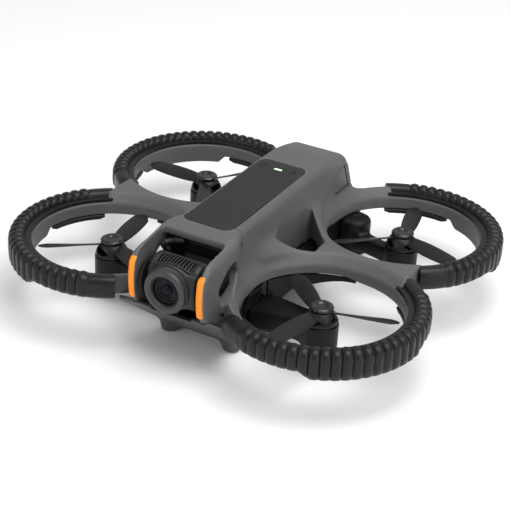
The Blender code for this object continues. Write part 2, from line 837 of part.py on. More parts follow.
def propeller(corner, rest_turn):
    side, end = CORNERS[corner]
    turn = side * end
    obj = rod(f"{corner}_propeller", (0, 0, PROP_Z), PROP_HUB_RADIUS, HUB_HEIGHT, paint=PROP_BLACK, sides=18)
    reaches = [0.5 * PROP_HUB_RADIUS + (PROP_RADIUS - 0.5 * PROP_HUB_RADIUS) * i / 9 for i in range(10)]
    for number in range(PROP_BLADES):
        spin = Matrix.Rotation(math.radians(rest_turn + number * 360 / PROP_BLADES), 4, "Z")
        sections = []
        for reach in reaches:
            sections.append([tuple(spin @ Vector(p)) for p in blade_section(reach, turn)])
        join(obj, loft(f"{corner}_blade_{number + 1}", sections, helper=True))
    place = Vector(at_rotor(corner, 0, 0, 0)) * MM
    for helper in [obj] + [m.object for m in obj.modifiers if m.type == "BOOLEAN"]:
        helper.location = place
    return obj


def hub_cap(corner):
    low = CAP_TOP - CAP_HEIGHT
    profile = [
        (0, CAP_TOP - 0.9),
        (2.2, CAP_TOP - 0.9),
        (3.0, CAP_TOP - 0.2),
        (4.2, CAP_TOP),
        (5.4, CAP_TOP - 0.4),
        (CAP_RADIUS, CAP_TOP - 1.1),
        (CAP_RADIUS - 0.3, low),
        (0, low),
    ]
    return turned(f"{corner}_hub_cap", profile, at_rotor(corner, 0, 0, 0), GLOSS_BLACK, steps=24)


# ---------------------------------------------------------------- camera


def gimbal_bracket():
    """A yoke behind the camera with an ear on each side."""
    outer = CAGE_INNER - GAP
    inner = outer - EAR_THICK
    obj = block("gimbal_bracket", (-outer, -63.4, 33.0), (outer, -62.0, 57.5), BLACK_PLASTIC)
    for name, side in SIDES.items():
        low, high = sorted((side * inner, side * outer))
        reaches = ((-7.0, -3.5), (-3.0, -7.0), (18.5, -9.0), (18.5, 9.0), (-3.0, 7.0), (-7.0, 3.5))
        ear = [(TILT_Y + y, TILT_Z + z) for y, z in reaches]
        join(obj, slab(f"{name}_ear", ear, low, high, "X", helper=True))
    low, high = HOUSING_HALF + GAP, inner + 0.5
    boss = rod("pivot_boss", ((low + high) / 2, TILT_Y, TILT_Z), 3.4, high - low, (1, 0, 0), helper=True)
    return join(obj, boss)


def tilt_motor():
    low = -(CAGE_INNER - GAP - EAR_THICK - GAP)
    high = -(HOUSING_HALF + GAP)
    centre = ((low + high) / 2, TILT_Y, TILT_Z)
    return rod("tilt_motor", centre, TILT_MOTOR_RADIUS, high - low, (1, 0, 0), MOTOR_METAL, sides=32)


def camera_housing():
    half_height = HOUSING_HEIGHT / 2
    low = (-HOUSING_HALF, TILT_Y - HOUSING_FRONT, TILT_Z - half_height)
    high = (HOUSING_HALF, TILT_Y + HOUSING_BACK, TILT_Z + half_height)
    obj = bevel(block("camera_housing", low, high, CAMERA_GREY), 4.0, 3)
    width = 2 * (HOUSING_HALF - 4.2)
    for i in range(FIN_COUNT):
        x = -width / 2 + width * i / (FIN_COUNT - 1)
        fin_low = (x - 0.45, TILT_Y - 1.5, TILT_Z + half_height - 1.0)
        fin_high = (x + 0.45, TILT_Y + 5.5, TILT_Z + half_height + 1.0)
        join(obj, block(f"fin_{i + 1}", fin_low, fin_high, helper=True))
    seat_centre = (0, TILT_Y - HOUSING_FRONT, TILT_Z)
    seat = rod("lens_seat", seat_centre, LENS_RADIUS + LOOSE, 4.0, (0, 1, 0), helper=True)
    return cut(obj, seat)


def lens_ring():
    front = LENS_REACH
    back = HOUSING_FRONT + GAP
    profile = [
        (LENS_RADIUS + GAP, front - 1.4),
        (LENS_RING_RADIUS - 2.2, front),
        (LENS_RING_RADIUS - 0.6, front - 0.2),
        (LENS_RING_RADIUS, front - 1.2),
        (LENS_RING_RADIUS - 0.6, back),
        (LENS_RADIUS + GAP, back),
    ]
    return turned("lens_ring", profile, (0, TILT_Y, TILT_Z), LENS_GREY, steps=32, direction=(0, -1, 0))


def lens():
    front = LENS_REACH - 2.0
    back = HOUSING_FRONT - 1.6
    profile = [
        (0, front),
        (LENS_RADIUS * 0.6, front - 0.5),
        (LENS_RADIUS, front - 1.4),
        (LENS_RADIUS, back),
        (0, back),
    ]
    return turned("lens_glass", profile, (0, TILT_Y, TILT_Z), LENS_GLASS, steps=28, direction=(0, -1, 0))


def camera_cable():
    """The ribbed lead from the cage's roof to the gimbal."""
    route = [
        (-8.0, -65.3, 57.2),
        (-10.4, -67.4, 57.4),
        (-12.6, -68.2, 56.8),
        (-14.2, -67.2, 55.2),
        (-14.6, -65.8, 52.6),
        (-14.6, -65.3, 50.0),
    ]
    curve = bpy.data.curves.new("camera_cable", "CURVE")
    curve.dimensions = "3D"
    curve.bevel_depth = CABLE_RADIUS * MM
    curve.bevel_resolution = 2
    curve.use_fill_caps = True
    spline = curve.splines.new("POLY")
    spline.points.add(len(route) - 1)
    for point, place in zip(spline.points, route):
        point.co = (*(Vector(place) * MM), 1.0)
    return link(bpy.data.objects.new("camera_cable", curve), CABLE_BLACK)


# ---------------------------------------------------------------- inside


def boards():
    top = BATTERY_TOP + 5 - LOOSE
    block("main_board", (-12.0, -46, top - 1.4 - BOARD_THICK), (12.0, 8, top - 1.4), BOARD_GREEN)
    half = HULL_HALF - HULL_WALL - BOARD_MARGIN
    low = HULL_BOTTOM + HULL_WALL + 4.0
    block("speed_controller_board", (-half, -44, low), (half, 40, low + BOARD_THICK), BOARD_GREEN)
    base = BATTERY_BOTTOM - LOOSE + GAP
    block("power_connector", (-9, BATTERY_FRONT - 7, base), (9, BATTERY_FRONT - LOOSE, base + 15), CONNECTOR)


def battery_case():
    rear = 0.8
    outline = [
        (BATTERY_FRONT, BATTERY_BOTTOM),
        (tail_y(BATTERY_BOTTOM) - rear, BATTERY_BOTTOM),
        (tail_y(BATTERY_TOP) - rear, BATTERY_TOP),
        (BATTERY_FRONT, BATTERY_TOP),
    ]
    obj = slab("battery_case", outline, -BATTERY_HALF, BATTERY_HALF, "X", SHELL_GREY)
    hollow = block(
        "cell_space",
        (-BATTERY_HALF + 1.5, BATTERY_FRONT - 5, BATTERY_BOTTOM + 1.5),
        (BATTERY_HALF - 1.5, 48, BATTERY_TOP - 1.5),
        helper=True,
    )
    cut(obj, hollow)
    for name, side in SIDES.items():
        floor = BODY_HALF - BUTTON_DEPTH - BUTTON_TRAVEL - GAP
        low, high = sorted((side * floor, side * 30))
        cut(obj, slab(f"{name}_latch_pocket", latch_outline(GAP), low, high, "X", helper=True))
    centre, normal = power_button_place()
    depth = POWER_TRAVEL + 1.6
    pocket = rod("power_pocket", centre, POWER_RADIUS + GAP, 2 * depth, normal, helper=True, sides=20)
    return cut(obj, pocket)


def power_button_place():
    """A point on the battery's tail face and the face's outward direction."""
    z = 49.0
    normal = Vector((0, 1, TAIL_LEAN)).normalized()
    return Vector((0, tail_y(z) - 0.8, z)), normal


def power_button():
    point, normal = power_button_place()
    depth = 1.8
    centre = point + normal * (POWER_TRAVEL - depth / 2)
    return rod("power_button", centre, POWER_RADIUS, depth, normal, BLACK_PLASTIC, sides=20)


def battery_cells():
    edge = 1.5 + GAP
    low = (-BATTERY_HALF + edge, BATTERY_FRONT + 3, BATTERY_BOTTOM + edge)
    high = (BATTERY_HALF - edge, 48 - GAP, BATTERY_TOP - edge)
    return block("battery_cells", low, high, CELL_SILVER)


def latch_button(name, side):
    low, high = sorted((side * (BODY_HALF - BUTTON_DEPTH), side * (BODY_HALF - 0.1)))
    return slab(f"{name}_latch_button", latch_outline(), low, high, "X", SHELL_GREY)


# ---------------------------------------------------------------- the drone

LENS_SWING = math.hypot(LENS_REACH, LENS_RING_RADIUS) + GAP
REST_TURNS = {"front_left": 20, "front_right": 95, "rear_left": 340, "rear_right": 60}


def build():
    recess = recess_cutter()
    top = roof(PANEL_REAR)
    panel_recess = panel_blank("panel_recess", GAP, top - PANEL_THICK - GAP, top + 10, helper=True)
    fuselage(panel_recess)
    nose_cage(panel_recess)
    top_panel()
    status_light()
    chin()
    hull()
    for name, side in SIDES.items():
        marker_strip(name, side)
        vent(name, side)
        latch_button(name, side)
    for corner, (side, _) in CORNERS.items():
        guard(corner, recess["left" if side > 0 else "right"])
        bumper(corner)
        lip_strip(corner, "inboard", -50.0, SKIRT_START - 9.0)
        lip_strip(corner, "end", SKIRT_END + 10.0, 128.0)
        arm(corner)
        stator(corner)
        bell(corner)
        propeller(corner, REST_TURNS[corner])
        hub_cap(corner)
    gimbal_bracket()
    tilt_motor()
    camera_housing()
    lens_ring()
    lens()
    camera_cable()
    boards()
    battery_case()
    battery_cells()
    power_button()


build()
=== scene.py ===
"""The looks of a small ducted racing drone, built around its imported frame.

Sizes are in millimetres, +Z up. The nose points to -Y and the drone's own left side is +X. The origin is on
the ground, midway between the four propeller axes.
"""

import math

import bmesh
import bpy
import numpy as np
import openvdb
from mathutils import Matrix, Quaternion, Vector


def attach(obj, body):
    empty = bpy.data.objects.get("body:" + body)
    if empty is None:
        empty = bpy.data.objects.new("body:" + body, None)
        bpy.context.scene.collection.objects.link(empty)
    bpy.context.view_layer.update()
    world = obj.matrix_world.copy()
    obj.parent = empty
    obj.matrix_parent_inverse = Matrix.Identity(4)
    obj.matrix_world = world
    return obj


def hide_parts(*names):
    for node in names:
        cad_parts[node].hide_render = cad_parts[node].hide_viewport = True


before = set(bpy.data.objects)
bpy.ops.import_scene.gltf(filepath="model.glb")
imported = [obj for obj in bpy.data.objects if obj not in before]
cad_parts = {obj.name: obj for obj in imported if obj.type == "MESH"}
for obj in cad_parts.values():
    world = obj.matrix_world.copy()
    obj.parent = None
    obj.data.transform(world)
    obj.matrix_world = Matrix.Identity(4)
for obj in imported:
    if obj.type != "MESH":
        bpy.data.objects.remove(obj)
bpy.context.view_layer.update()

# ---------------------------------------------------------------- the studio
# A pale sweep under the drone, one broad soft lamp overhead and two weaker ones beside it. The camera
# looks down on the nose from the drone's front left.

MM = 0.001

scene = bpy.context.scene
scene.view_settings.view_transform = "Standard"


def plain_material(name, colour, roughness):
    made = bpy.data.materials.new(name)
    made.use_nodes = True
    shader = made.node_tree.nodes["Principled BSDF"]
    shader.inputs["Base Color"].default_value = (*colour, 1.0)
    shader.inputs["Roughness"].default_value = roughness
    return made


FLOOR_HALF = 3.0
FLOOR_Z = -0.0002
floor_mesh = bpy.data.meshes.new("studio_floor")
floor_mesh.from_pydata(
    [(x * FLOOR_HALF, y * FLOOR_HALF, FLOOR_Z) for x, y in ((-1, -1), (1, -1), (1, 1), (-1, 1))],
    [],
    [(0, 1, 2, 3)],
)
floor_mesh.materials.append(plain_material("pale_paper", (0.93, 0.93, 0.93), 0.9))
floor = bpy.data.objects.new("studio_floor", floor_mesh)
scene.collection.objects.link(floor)

AIR_LIGHT = 0.55
AIR_SEEN = 1.0
world = bpy.data.worlds.new("studio_air")
world.use_nodes = True
air = world.node_tree
air.nodes["Background"].inputs["Color"].default_value = (1.0, 1.0, 1.0, 1.0)
seen = air.nodes.new("ShaderNodeLightPath").outputs["Is Camera Ray"]
level = air.nodes.new("ShaderNodeMapRange")
level.inputs["To Min"].default_value = AIR_LIGHT
level.inputs["To Max"].default_value = AIR_SEEN
air.links.new(seen, level.inputs["Value"])
air.links.new(level.outputs[0], air.nodes["Background"].inputs["Strength"])
scene.world = world


def softbox(name, place, aim, size, watts):
    data = bpy.data.lights.new(name, "AREA")
    data.shape = "RECTANGLE"
    data.size, data.size_y = size
    data.energy = watts
    lamp = bpy.data.objects.new(name, data)
    lamp.location = place
    lamp.rotation_mode = "QUATERNION"
    lamp.rotation_quaternion = (Vector(aim) - Vector(place)).to_track_quat("-Z", "Y")
    scene.collection.objects.link(lamp)


softbox("overhead", (0.34, -0.05, 1.1), (0, 0, 0), (1.0, 1.0), 11.5)
softbox("left_side", (1.1, -0.4, 0.45), (0, 0, 0.03), (0.5, 0.8), 2.6)
softbox("nose_side", (-0.5, -1.1, 0.5), (0, 0, 0.03), (0.8, 0.4), 1.9)

VIEW_AZIMUTH = math.radians(28.01)
VIEW_ELEVATION = math.radians(27.46)
VIEW_ROLL = math.radians(3.12)
VIEW_DISTANCE = 771.94
VIEW_TARGET = Vector((0.0, 0.0, 34.75))

camera_data = bpy.data.cameras.new("studio_camera")
camera_data.sensor_width = 36.0
camera_data.lens = 103.99
camera_data.shift_x = -0.00935
camera_data.shift_y = -0.0413
camera_data.clip_start = 0.05
camera_data.clip_end = 20.0
camera = bpy.data.objects.new("studio_camera", camera_data)
back = Vector((
    math.sin(VIEW_AZIMUTH) * math.cos(VIEW_ELEVATION),
    -math.cos(VIEW_AZIMUTH) * math.cos(VIEW_ELEVATION),
    math.sin(VIEW_ELEVATION),
))
camera.location = (VIEW_TARGET + back * VIEW_DISTANCE) * MM
camera.rotation_mode = "QUATERNION"
camera.rotation_quaternion = (-back).to_track_quat("-Z", "Y") @ Quaternion((0, 0, 1), VIEW_ROLL)
scene.collection.objects.link(camera)
scene.camera = camera

# ---------------------------------------------------------------- upper shell
# One injection-moulded grey shell: the narrow fuselage, the webs that flow out of its sides, the four duct
# rings and the cage round the nose camera. Its inside is hollow for the boards and the battery, and it is
# screwed to the lower hull.

TRACK_HALF = 61.0
BASE_HALF = 47.0
BODY_HALF = 17.0
BODY_FLOOR = 27.0
RING_INNER = 40.5
RING_OUTER = 46.5
RING_BOTTOM = 27.5
COVERED_TOP = 34.6
WEB_TOP = 39.9
ROLL_DROP = 6.4
ROLL_WIDTH = 9.0
BEAD = 0.75
ROOF_TOP = 66.0
LEAN_FRONT = -52.0
CAGE_HALF = 21.3
CAGE_INNER = 17.8
CAGE_FRONT = -92.8
CAGE_WAIST = 45.0
CAGE_BOW = 0.012
PANEL_HALF = 13.7
PANEL_FRONT = -57.1
PANEL_REAR = 24.2
PANEL_CORNER = 5.0
BUMPER_START = -56.0
BUMPER_END = 126.0
TAIL_Y = 66.6
TAIL_Z = 58.0
TAIL_LEAN = 0.45
TAIL_SLOPE = 0.91
SIDE_REACH = 30.0


def ramp(value, start, end):
    """0 before start, 1 after end, and an S-curve between them."""
    t = np.clip((value - start) / (end - start), 0.0, 1.0)
    return t * t * (3 - 2 * t)


def apart(u, v):
    """The distance from an axis, from the distances along two directions."""
    return np.sqrt(u ** 2 + v ** 2)


def merge(a, b, soft):
    """The union of two distance fields, with a fillet where they meet."""
    h = np.clip(0.5 + 0.5 * (b - a) / soft, 0.0, 1.0)
    return b + (a - b) * h - soft * h * (1 - h)


def trim(a, b, soft):
    """What two distance fields share, with a rounded edge."""
    return -merge(-a, -b, soft)


def carve(a, b, soft):
    """The first field without the second, with a rounded edge."""
    return -merge(-a, b, soft)


def rounded(reaches, radius):
    """A box or a slab from its signed reach along each direction, with round edges."""
    outside, inside = 0.0, -1e9
    for reach in reaches:
        outside = outside + np.maximum(reach + radius, 0.0) ** 2
        inside = np.maximum(inside, reach + radius)
    return np.sqrt(outside) + np.minimum(inside, 0.0) - radius


def polygon(u, v, corners, soft=0.01):
    """A convex polygon, its corners counterclockwise, with rounded corners."""
    field = None
    for (u0, v0), (u1, v1) in zip(corners, corners[1:] + corners[:1]):
        span = math.hypot(u1 - u0, v1 - v0)
        edge = ((u - u0) * (v1 - v0) - (v - v0) * (u1 - u0)) / span
        field = edge if field is None else trim(field, edge, soft)
    return field


def lattice(low, high, step):
    """The coordinates of a block of sample points."""
    axes = [np.arange(a, b + step, step, dtype=np.float32) for a, b in zip(low, high)]
    return np.meshgrid(*axes, indexing="ij", sparse=True)


def as_mesh(name, points, faces):
    mesh = bpy.data.meshes.new(name)
    mesh.from_pydata((np.asarray(points, float) * MM).tolist(), [], faces)
    mesh.update()
    mesh.shade_smooth()
    return mesh


def skin(name, field, low, step, detail=0.01, both_sides=False):
    """The surface of a distance field. both_sides adds the mirror image of a field that starts at X = 0."""
    start = np.array(low, float)
    if both_sides:
        start[0] = -(field.shape[0] - 1) * step
        field = np.concatenate([field[:0:-1], field], axis=0)
    grid = openvdb.FloatGrid()
    grid.background = 3 * step
    grid.copyFromArray(np.clip(field, -3 * step, 3 * step).astype(np.float32))
    points, triangles, quads = grid.convertToPolygons(isovalue=0.0, adaptivity=detail)
    return as_mesh(name, points * step + start, quads.tolist() + triangles.tolist())


def evaluated(mesh, dress):
    """The mesh after the modifiers that dress adds to it."""
    holder = bpy.data.objects.new("holder", mesh)
    scene.collection.objects.link(holder)
    dress(holder)
    bpy.context.view_layer.update()
    graph = bpy.context.evaluated_depsgraph_get()
    made = bpy.data.meshes.new_from_object(holder.evaluated_get(graph))
    made.name = mesh.name
    bpy.data.objects.remove(holder, do_unlink=True)
    return made


def combined(mesh, others, operation="DIFFERENCE"):
    """The mesh after a Boolean with each of the others."""
    for other in others:
        tool = bpy.data.objects.new("tool", other)
        scene.collection.objects.link(tool)

        def dress(holder):
            step = holder.modifiers.new("cut", "BOOLEAN")
            step.operation = operation
            step.solver = "MANIFOLD"
            step.object = tool

        mesh = evaluated(mesh, dress)
        bpy.data.objects.remove(tool, do_unlink=True)
    return mesh


def sweep(name, rings, closed=False):
    """A skin through rings of points, capped at both ends unless it closes on itself."""
    rings = np.asarray(rings, float)
    count, around = rings.shape[:2]
    faces = []
    for i in range(count if closed else count - 1):
        a, b = i * around, (i + 1) % count * around
        for j in range(around):
            k = (j + 1) % around
            faces.append((a + j, a + k, b + k, b + j))
    if not closed:
        faces.append(tuple(range(around - 1, -1, -1)))
        faces.append(tuple(range((count - 1) * around, count * around)))
    mesh = as_mesh(name, rings.reshape(-1, 3), faces)
    shape = bmesh.new()
    shape.from_mesh(mesh)
    bmesh.ops.recalc_face_normals(shape, faces=shape.faces)
    shape.to_mesh(mesh)
    shape.free()
    mesh.shade_smooth()
    return mesh


def slab(name, outline, low, high, axis="Z"):
    """A flat outline pulled out along an axis: (y, z) points along X, (x, z) along Y, (x, y) along Z."""
    places = {"X": lambda u, v, w: (w, u, v), "Y": lambda u, v, w: (u, w, v), "Z": lambda u, v, w: (u, v, w)}
    rings = [[places[axis](u, v, w) for u, v in outline] for w in (low, high)]
    return sweep(name, rings)


def box(name, low, high):
    (x0, y0, z0), (x1, y1, z1) = low, high
    return slab(name, [(x0, y0), (x1, y0), (x1, y1), (x0, y1)], z0, z1)


def beside(name, outline, sign, near, far=SIDE_REACH):
    """A side-view outline as a slab on one side of the drone, between two distances from its middle."""
    return slab(name, outline, *sorted((sign * near, sign * far)), "X")


def round_corners(x0, x1, y0, y1, radius, steps=10):
    outline = []
    for x, y, start in ((x1, y1, 0), (x0, y1, 90), (x0, y0, 180), (x1, y0, 270)):
        cx = x - math.copysign(radius, x - (x0 + x1) / 2)
        cy = y - math.copysign(radius, y - (y0 + y1) / 2)
        for i in range(steps + 1):
            a = math.radians(start + 90 * i / steps)
            outline.append((cx + radius * math.cos(a), cy + radius * math.sin(a)))
    return outline


def towards(direction):
    """The rotation that takes +Z to a direction."""
    return np.array(Vector(direction).to_track_quat("Z", "Y").to_matrix())


def turned(name, profile, centre, direction=(0, 0, 1), steps=64):
    """A turned solid from (radius, height) points. Where it starts and ends on the axis it is solid."""
    turn = towards(direction)
    rings = []
    solid = profile[0][0] == 0
    angles = np.arange(steps) * math.tau / steps
    for radius, height in profile[1:-1] if solid else profile:
        rings.append([(radius * math.cos(a), radius * math.sin(a), height) for a in angles])
    rings = np.array(rings) @ turn.T + np.array(centre)
    if not solid:
        return sweep(name, rings, closed=True)
    mesh = sweep(name, rings)
    # The two end caps close on the axis, at the first and the last height.
    shape = bmesh.new()
    shape.from_mesh(mesh)
    caps = [f for f in shape.faces if len(f.verts) == steps]
    for height in (profile[0][1], profile[-1][1]):
        tip = Vector((np.array((0, 0, height)) @ turn.T + np.array(centre)) * MM)
        cap = min(caps, key=lambda f: (f.calc_center_median() - tip).length)
        caps.remove(cap)
        poked = bmesh.ops.poke(shape, faces=[cap])
        poked["verts"][0].co = tip
    shape.to_mesh(mesh)
    shape.free()
    mesh.shade_smooth()
    return mesh


def roof(y):
    """The height of the fuselage's roof along its length."""
    front = 1.6 * ramp(-y, -PANEL_REAR, -LEAN_FRONT) + 3.6 * ramp(-y, 54.0, 86.0)
    return ROOF_TOP - front - 5.5 * ramp(y, 34.2, 72.6) ** 1.3


def tail_y(z):
    """Where the leaning tail face stands at a height."""
    return TAIL_Y + (TAIL_Z - z) * TAIL_LEAN


def cage_front(z):
    """Where the front of the nose cage stands at a height."""
    return CAGE_FRONT + CAGE_BOW * (z - CAGE_WAIST) ** 2


SHELL_STEP = 0.6
SHELL_LOW = (0.0, -97.0, 19.0)
X, Y, Z = lattice(SHELL_LOW, (109.0, 96.0, 70.0), SHELL_STEP)
reach = apart(X - TRACK_HALF, np.abs(Y) - BASE_HALF)
angle = np.degrees(np.arctan2(np.abs(Y) - BASE_HALF, X - TRACK_HALF))

covered = ramp(angle, BUMPER_START + 2, BUMPER_START + 5) - ramp(angle, BUMPER_END - 5, BUMPER_END - 2)
ring_top = WEB_TOP + (COVERED_TOP - WEB_TOP) * covered
ring_low = RING_BOTTOM - 4.0 * (ramp(angle, -4, 3) - ramp(angle, 68, 75))
# Where the ring is bare its top rolls down into the duct and ends in a fine lip. Under the sleeve it is flat.
roll = (1 - covered) * ROLL_DROP * np.clip(1 - (reach - RING_INNER) / ROLL_WIDTH, 0.0, 1.0) ** 2
ring_top = ring_top - roll
ring_low = ring_low + (1 - covered) * 1.6 * ramp(-np.abs(angle + 135.0), -50.0, -30.0)
ring = rounded(
    [np.abs(reach - (RING_INNER + RING_OUTER) / 2) - (RING_OUTER - RING_INNER) / 2,
     np.abs(Z - (ring_top + ring_low) / 2) - (ring_top - ring_low) / 2],
    1.1,
)
bead = apart(reach - RING_INNER - BEAD, Z - ring_top + 0.55) - BEAD
ring = merge(ring, bead + 2.0 * covered, 0.35)

web_foot = trim(trim(RING_INNER + 3.0 - reach, X - 88.0, 6.0), np.abs(Y) - 33.0, 3.0)
web_top = WEB_TOP + 4.5 * ramp(-X, -36.0, -17.0) - roll
web = rounded([web_foot, np.abs(Z - (web_top + 30.0) / 2) - (web_top - 30.0) / 2], 1.2)
shell = merge(ring, web, 2.0)
# The hollow where two webs meet the fuselage: its floor falls away from the front lip.
WEB_HOLLOW = [(12.0, -19.4), (19.0, -17.8), (36.4, -9.2), (35.8, 3.0), (19.4, 21.5), (12.0, 25.0)]
hollow = polygon(X, Y, WEB_HOLLOW, 0.6)
hollow_floor = 40.5 - 1.1 * ((X - 20.4) * -0.452 + (Y + 17.4) * 0.892)
hollow = trim(hollow, hollow_floor - Z, 1.2)
shell = carve(shell, hollow, 0.9)

side = BODY_HALF + (CAGE_HALF - BODY_HALF) * ramp(-Y, 49.0, 63.0) - 1.4 * ramp(-Y, 88.0, 99.0)
body = rounded([X - side, Z - roof(Y)], 5.0)
body = trim(body, (Y - tail_y(Z)) * TAIL_SLOPE, 4.0)
brow = (Y + 84.9) * -0.585 + (Z - 60.4) * 0.811
lower_brow = (Y + 91.4) * -0.62 + (Z - 32.5) * -0.785
body = trim(trim(body, (cage_front(Z) - Y), 3.0), trim(brow, lower_brow, 1.0), 3.0)
body = trim(body, BODY_FLOOR - Z, 1.0)
shell = merge(shell, body, 8.0)
shell = carve(shell, np.maximum(hollow, BODY_HALF + 1.4 - X), 0.9)
shell = np.maximum(shell, BODY_FLOOR - 4.0 - Z)

mouth = rounded([X - CAGE_INNER, Y + 66.4], 2.5)
shell = carve(shell, mouth, 0.7)
shell = carve(shell, rounded([X - CAGE_INNER, Y + 61.6, Z - 59.0], 1.5), 0.8)
CHEEK_WINDOW = [(-61.7, 53.0), (-68.3, 52.4), (-78.0, 44.0), (-77.4, 36.6), (-68.1, 37.4), (-56.4, 44.4)]
window = polygon(Y, Z, CHEEK_WINDOW, 2.0)
shell = carve(shell, np.maximum(window, np.abs(X - 20.5) - 5.5), 0.9)
upper_shell = skin("upper_shell", shell, SHELL_LOW, SHELL_STEP, both_sides=True)


LATCH_LOW = 40.6
LATCH_HIGH = 55.4


def latch_outline(grow=0.0, rear=None):
    """The latch button in side view. Its opening in the shell runs out to the tail."""
    low, high = LATCH_LOW - grow, LATCH_HIGH + grow
    tail = [(rear, high), (rear, low)] if rear else [(69.6 + grow, low)]
    return [(52.8 - grow, low), (50.3 - grow, 53.3 + grow), (62.4 + grow, high)] + tail


def leaning(mesh):
    """Tips a flat roof piece so that it follows the roof's lean."""
    lean = (roof(PANEL_REAR) - roof(LEAN_FRONT)) / (PANEL_REAR - LEAN_FRONT)
    for vertex in mesh.vertices:
        vertex.co.z += lean * (vertex.co.y - PANEL_REAR * MM)
    return mesh


def panel_outline(grow):
    """The roof panel in plan, grown all round."""
    half = PANEL_HALF + grow
    return round_corners(-half, half, PANEL_FRONT - grow, PANEL_REAR + grow, PANEL_CORNER + grow)


def ribbon(line, width):
    """A thin outline along a line of points."""
    path = [Vector(p) for p in line]
    edges = []
    for i, point in enumerate(path):
        ahead = (path[min(i + 1, len(path) - 1)] - path[max(i - 1, 0)]).normalized()
        edges.append((point, Vector((-ahead.y, ahead.x)) * width / 2))
    return [tuple(p + n) for p, n in edges] + [tuple(p - n) for p, n in reversed(edges)]


roof_top = float(roof(PANEL_REAR))
cutters = [
    box("battery_bay", (-14.9, -61.0, 30.5), (14.9, 100.0, 57.3)),
    box("board_bay", (-12.5, -60.0, 56.0), (12.5, 38.0, 61.8)),
    leaning(slab("panel_seat", panel_outline(0.25), roof_top - 1.5, roof_top + 10.0)),
]
CAGE_SEAM = [
    (-52.4, 68.0), (-52.0, 64.6), (-50.2, 61.6), (-49.3, 58.4), (-49.7, 55.0), (-52.0, 52.6), (-57.6, 50.6),
]
CAGE_CLIP = [(-49.9, 56.6), (-49.6, 53.6)]
CAGE_SCREW = [(0, 3.0), (1.5, 3.0), (1.5, -3.0), (0, -3.0)]
for sign in (1, -1):
    cutters.append(beside("latch_opening", latch_outline(0.5, rear=95.0), sign, 12.9))
    cutters.append(beside("cage_seam", ribbon(CAGE_SEAM, 0.28), sign, 12.6))
    cutters.append(beside("cage_clip", ribbon(CAGE_CLIP, 1.3), sign, 15.8))
    cutters.append(turned("cage_screw", CAGE_SCREW, (sign * 21.5, -76.5, 31.5), (1, 0, 0)))
upper_shell = combined(upper_shell, cutters)


# Finishes that more than one part shares are groups: a moulded surface with its fine spark texture and
# slow changes of tone, the paler line that handling leaves along edges, and a trace of dust on top.


def new_group(name, inputs, outputs):
    group = bpy.data.node_groups.new(name, "ShaderNodeTree")
    kinds = {"colour": "NodeSocketColor", "value": "NodeSocketFloat"}
    for title, kind in inputs:
        group.interface.new_socket(title, in_out="INPUT", socket_type=kinds[kind])
    for title, kind in outputs:
        group.interface.new_socket(title, in_out="OUTPUT", socket_type=kinds[kind])
    return group, group.nodes.new("NodeGroupInput").outputs, group.nodes.new("NodeGroupOutput").inputs


def maths(tree, operation, first, second, third=None):
    node = tree.nodes.new("ShaderNodeMath")
    node.operation = operation
    for socket, value in zip(node.inputs, (first, second, third)):
        if isinstance(value, bpy.types.NodeSocket):
            tree.links.new(value, socket)
        elif value is not None:
            socket.default_value = value
    return node.outputs[0]


def noise(tree, scale, detail=2.0, stretch=(1, 1, 1), kind="Fac"):
    """Noise in the part's own coordinates, in cycles a metre."""
    place = tree.nodes.new("ShaderNodeTexCoord").outputs["Object"]
    if stretch != (1, 1, 1):
        mapping = tree.nodes.new("ShaderNodeMapping")
        mapping.inputs["Scale"].default_value = stretch
        tree.links.new(place, mapping.inputs["Vector"])
        place = mapping.outputs[0]
    node = tree.nodes.new("ShaderNodeTexNoise")
    node.inputs["Detail"].default_value = detail
    tree.links.new(place, node.inputs["Vector"])
    if isinstance(scale, bpy.types.NodeSocket):
        tree.links.new(scale, node.inputs["Scale"])
    else:
        node.inputs["Scale"].default_value = scale
    return node.outputs[kind]


def colour_mix(tree, share, first, second, blend="MIX"):
    node = tree.nodes.new("ShaderNodeMix")
    node.data_type = "RGBA"
    node.blend_type = blend
    for socket, value in ((node.inputs[0], share), (node.inputs[6], first), (node.inputs[7], second)):
        if isinstance(value, bpy.types.NodeSocket):
            tree.links.new(value, socket)
        else:
            socket.default_value = value
    return node.outputs[2]


def span(tree, value, low, high, to_low, to_high):
    node = tree.nodes.new("ShaderNodeMapRange")
    tree.links.new(value, node.inputs[0])
    for socket, number in zip(node.inputs[1:5], (low, high, to_low, to_high)):
        if isinstance(number, bpy.types.NodeSocket):
            tree.links.new(number, socket)
        else:
            socket.default_value = number
    return node.outputs[0]


moulded, given, made = new_group(
    "moulded_surface",
    [
        ("Colour", "colour"),
        ("Pale Colour", "colour"),
        ("Grain Scale", "value"),
        ("Roughness", "value"),
        ("Spread", "value"),
    ],
    [("Colour", "colour"), ("Roughness", "value"), ("Height", "value")],
)
grain = noise(moulded, given["Grain Scale"], 3.0)
clouds = noise(moulded, 55.0, 2.0)
flow = noise(moulded, 18.0, 1.0)
tone = maths(moulded, "MULTIPLY_ADD", grain, 0.45, maths(moulded, "MULTIPLY", clouds, 0.55))
moulded.links.new(
    colour_mix(moulded, span(moulded, tone, 0.35, 0.65, 0.0, 1.0), given["Colour"], given["Pale Colour"]),
    made["Colour"],
)
uneven = maths(moulded, "SUBTRACT", maths(moulded, "ADD", clouds, flow), 1.0)
moulded.links.new(
    maths(moulded, "MULTIPLY_ADD", uneven, given["Spread"], given["Roughness"]), made["Roughness"]
)
moulded.links.new(grain, made["Height"])

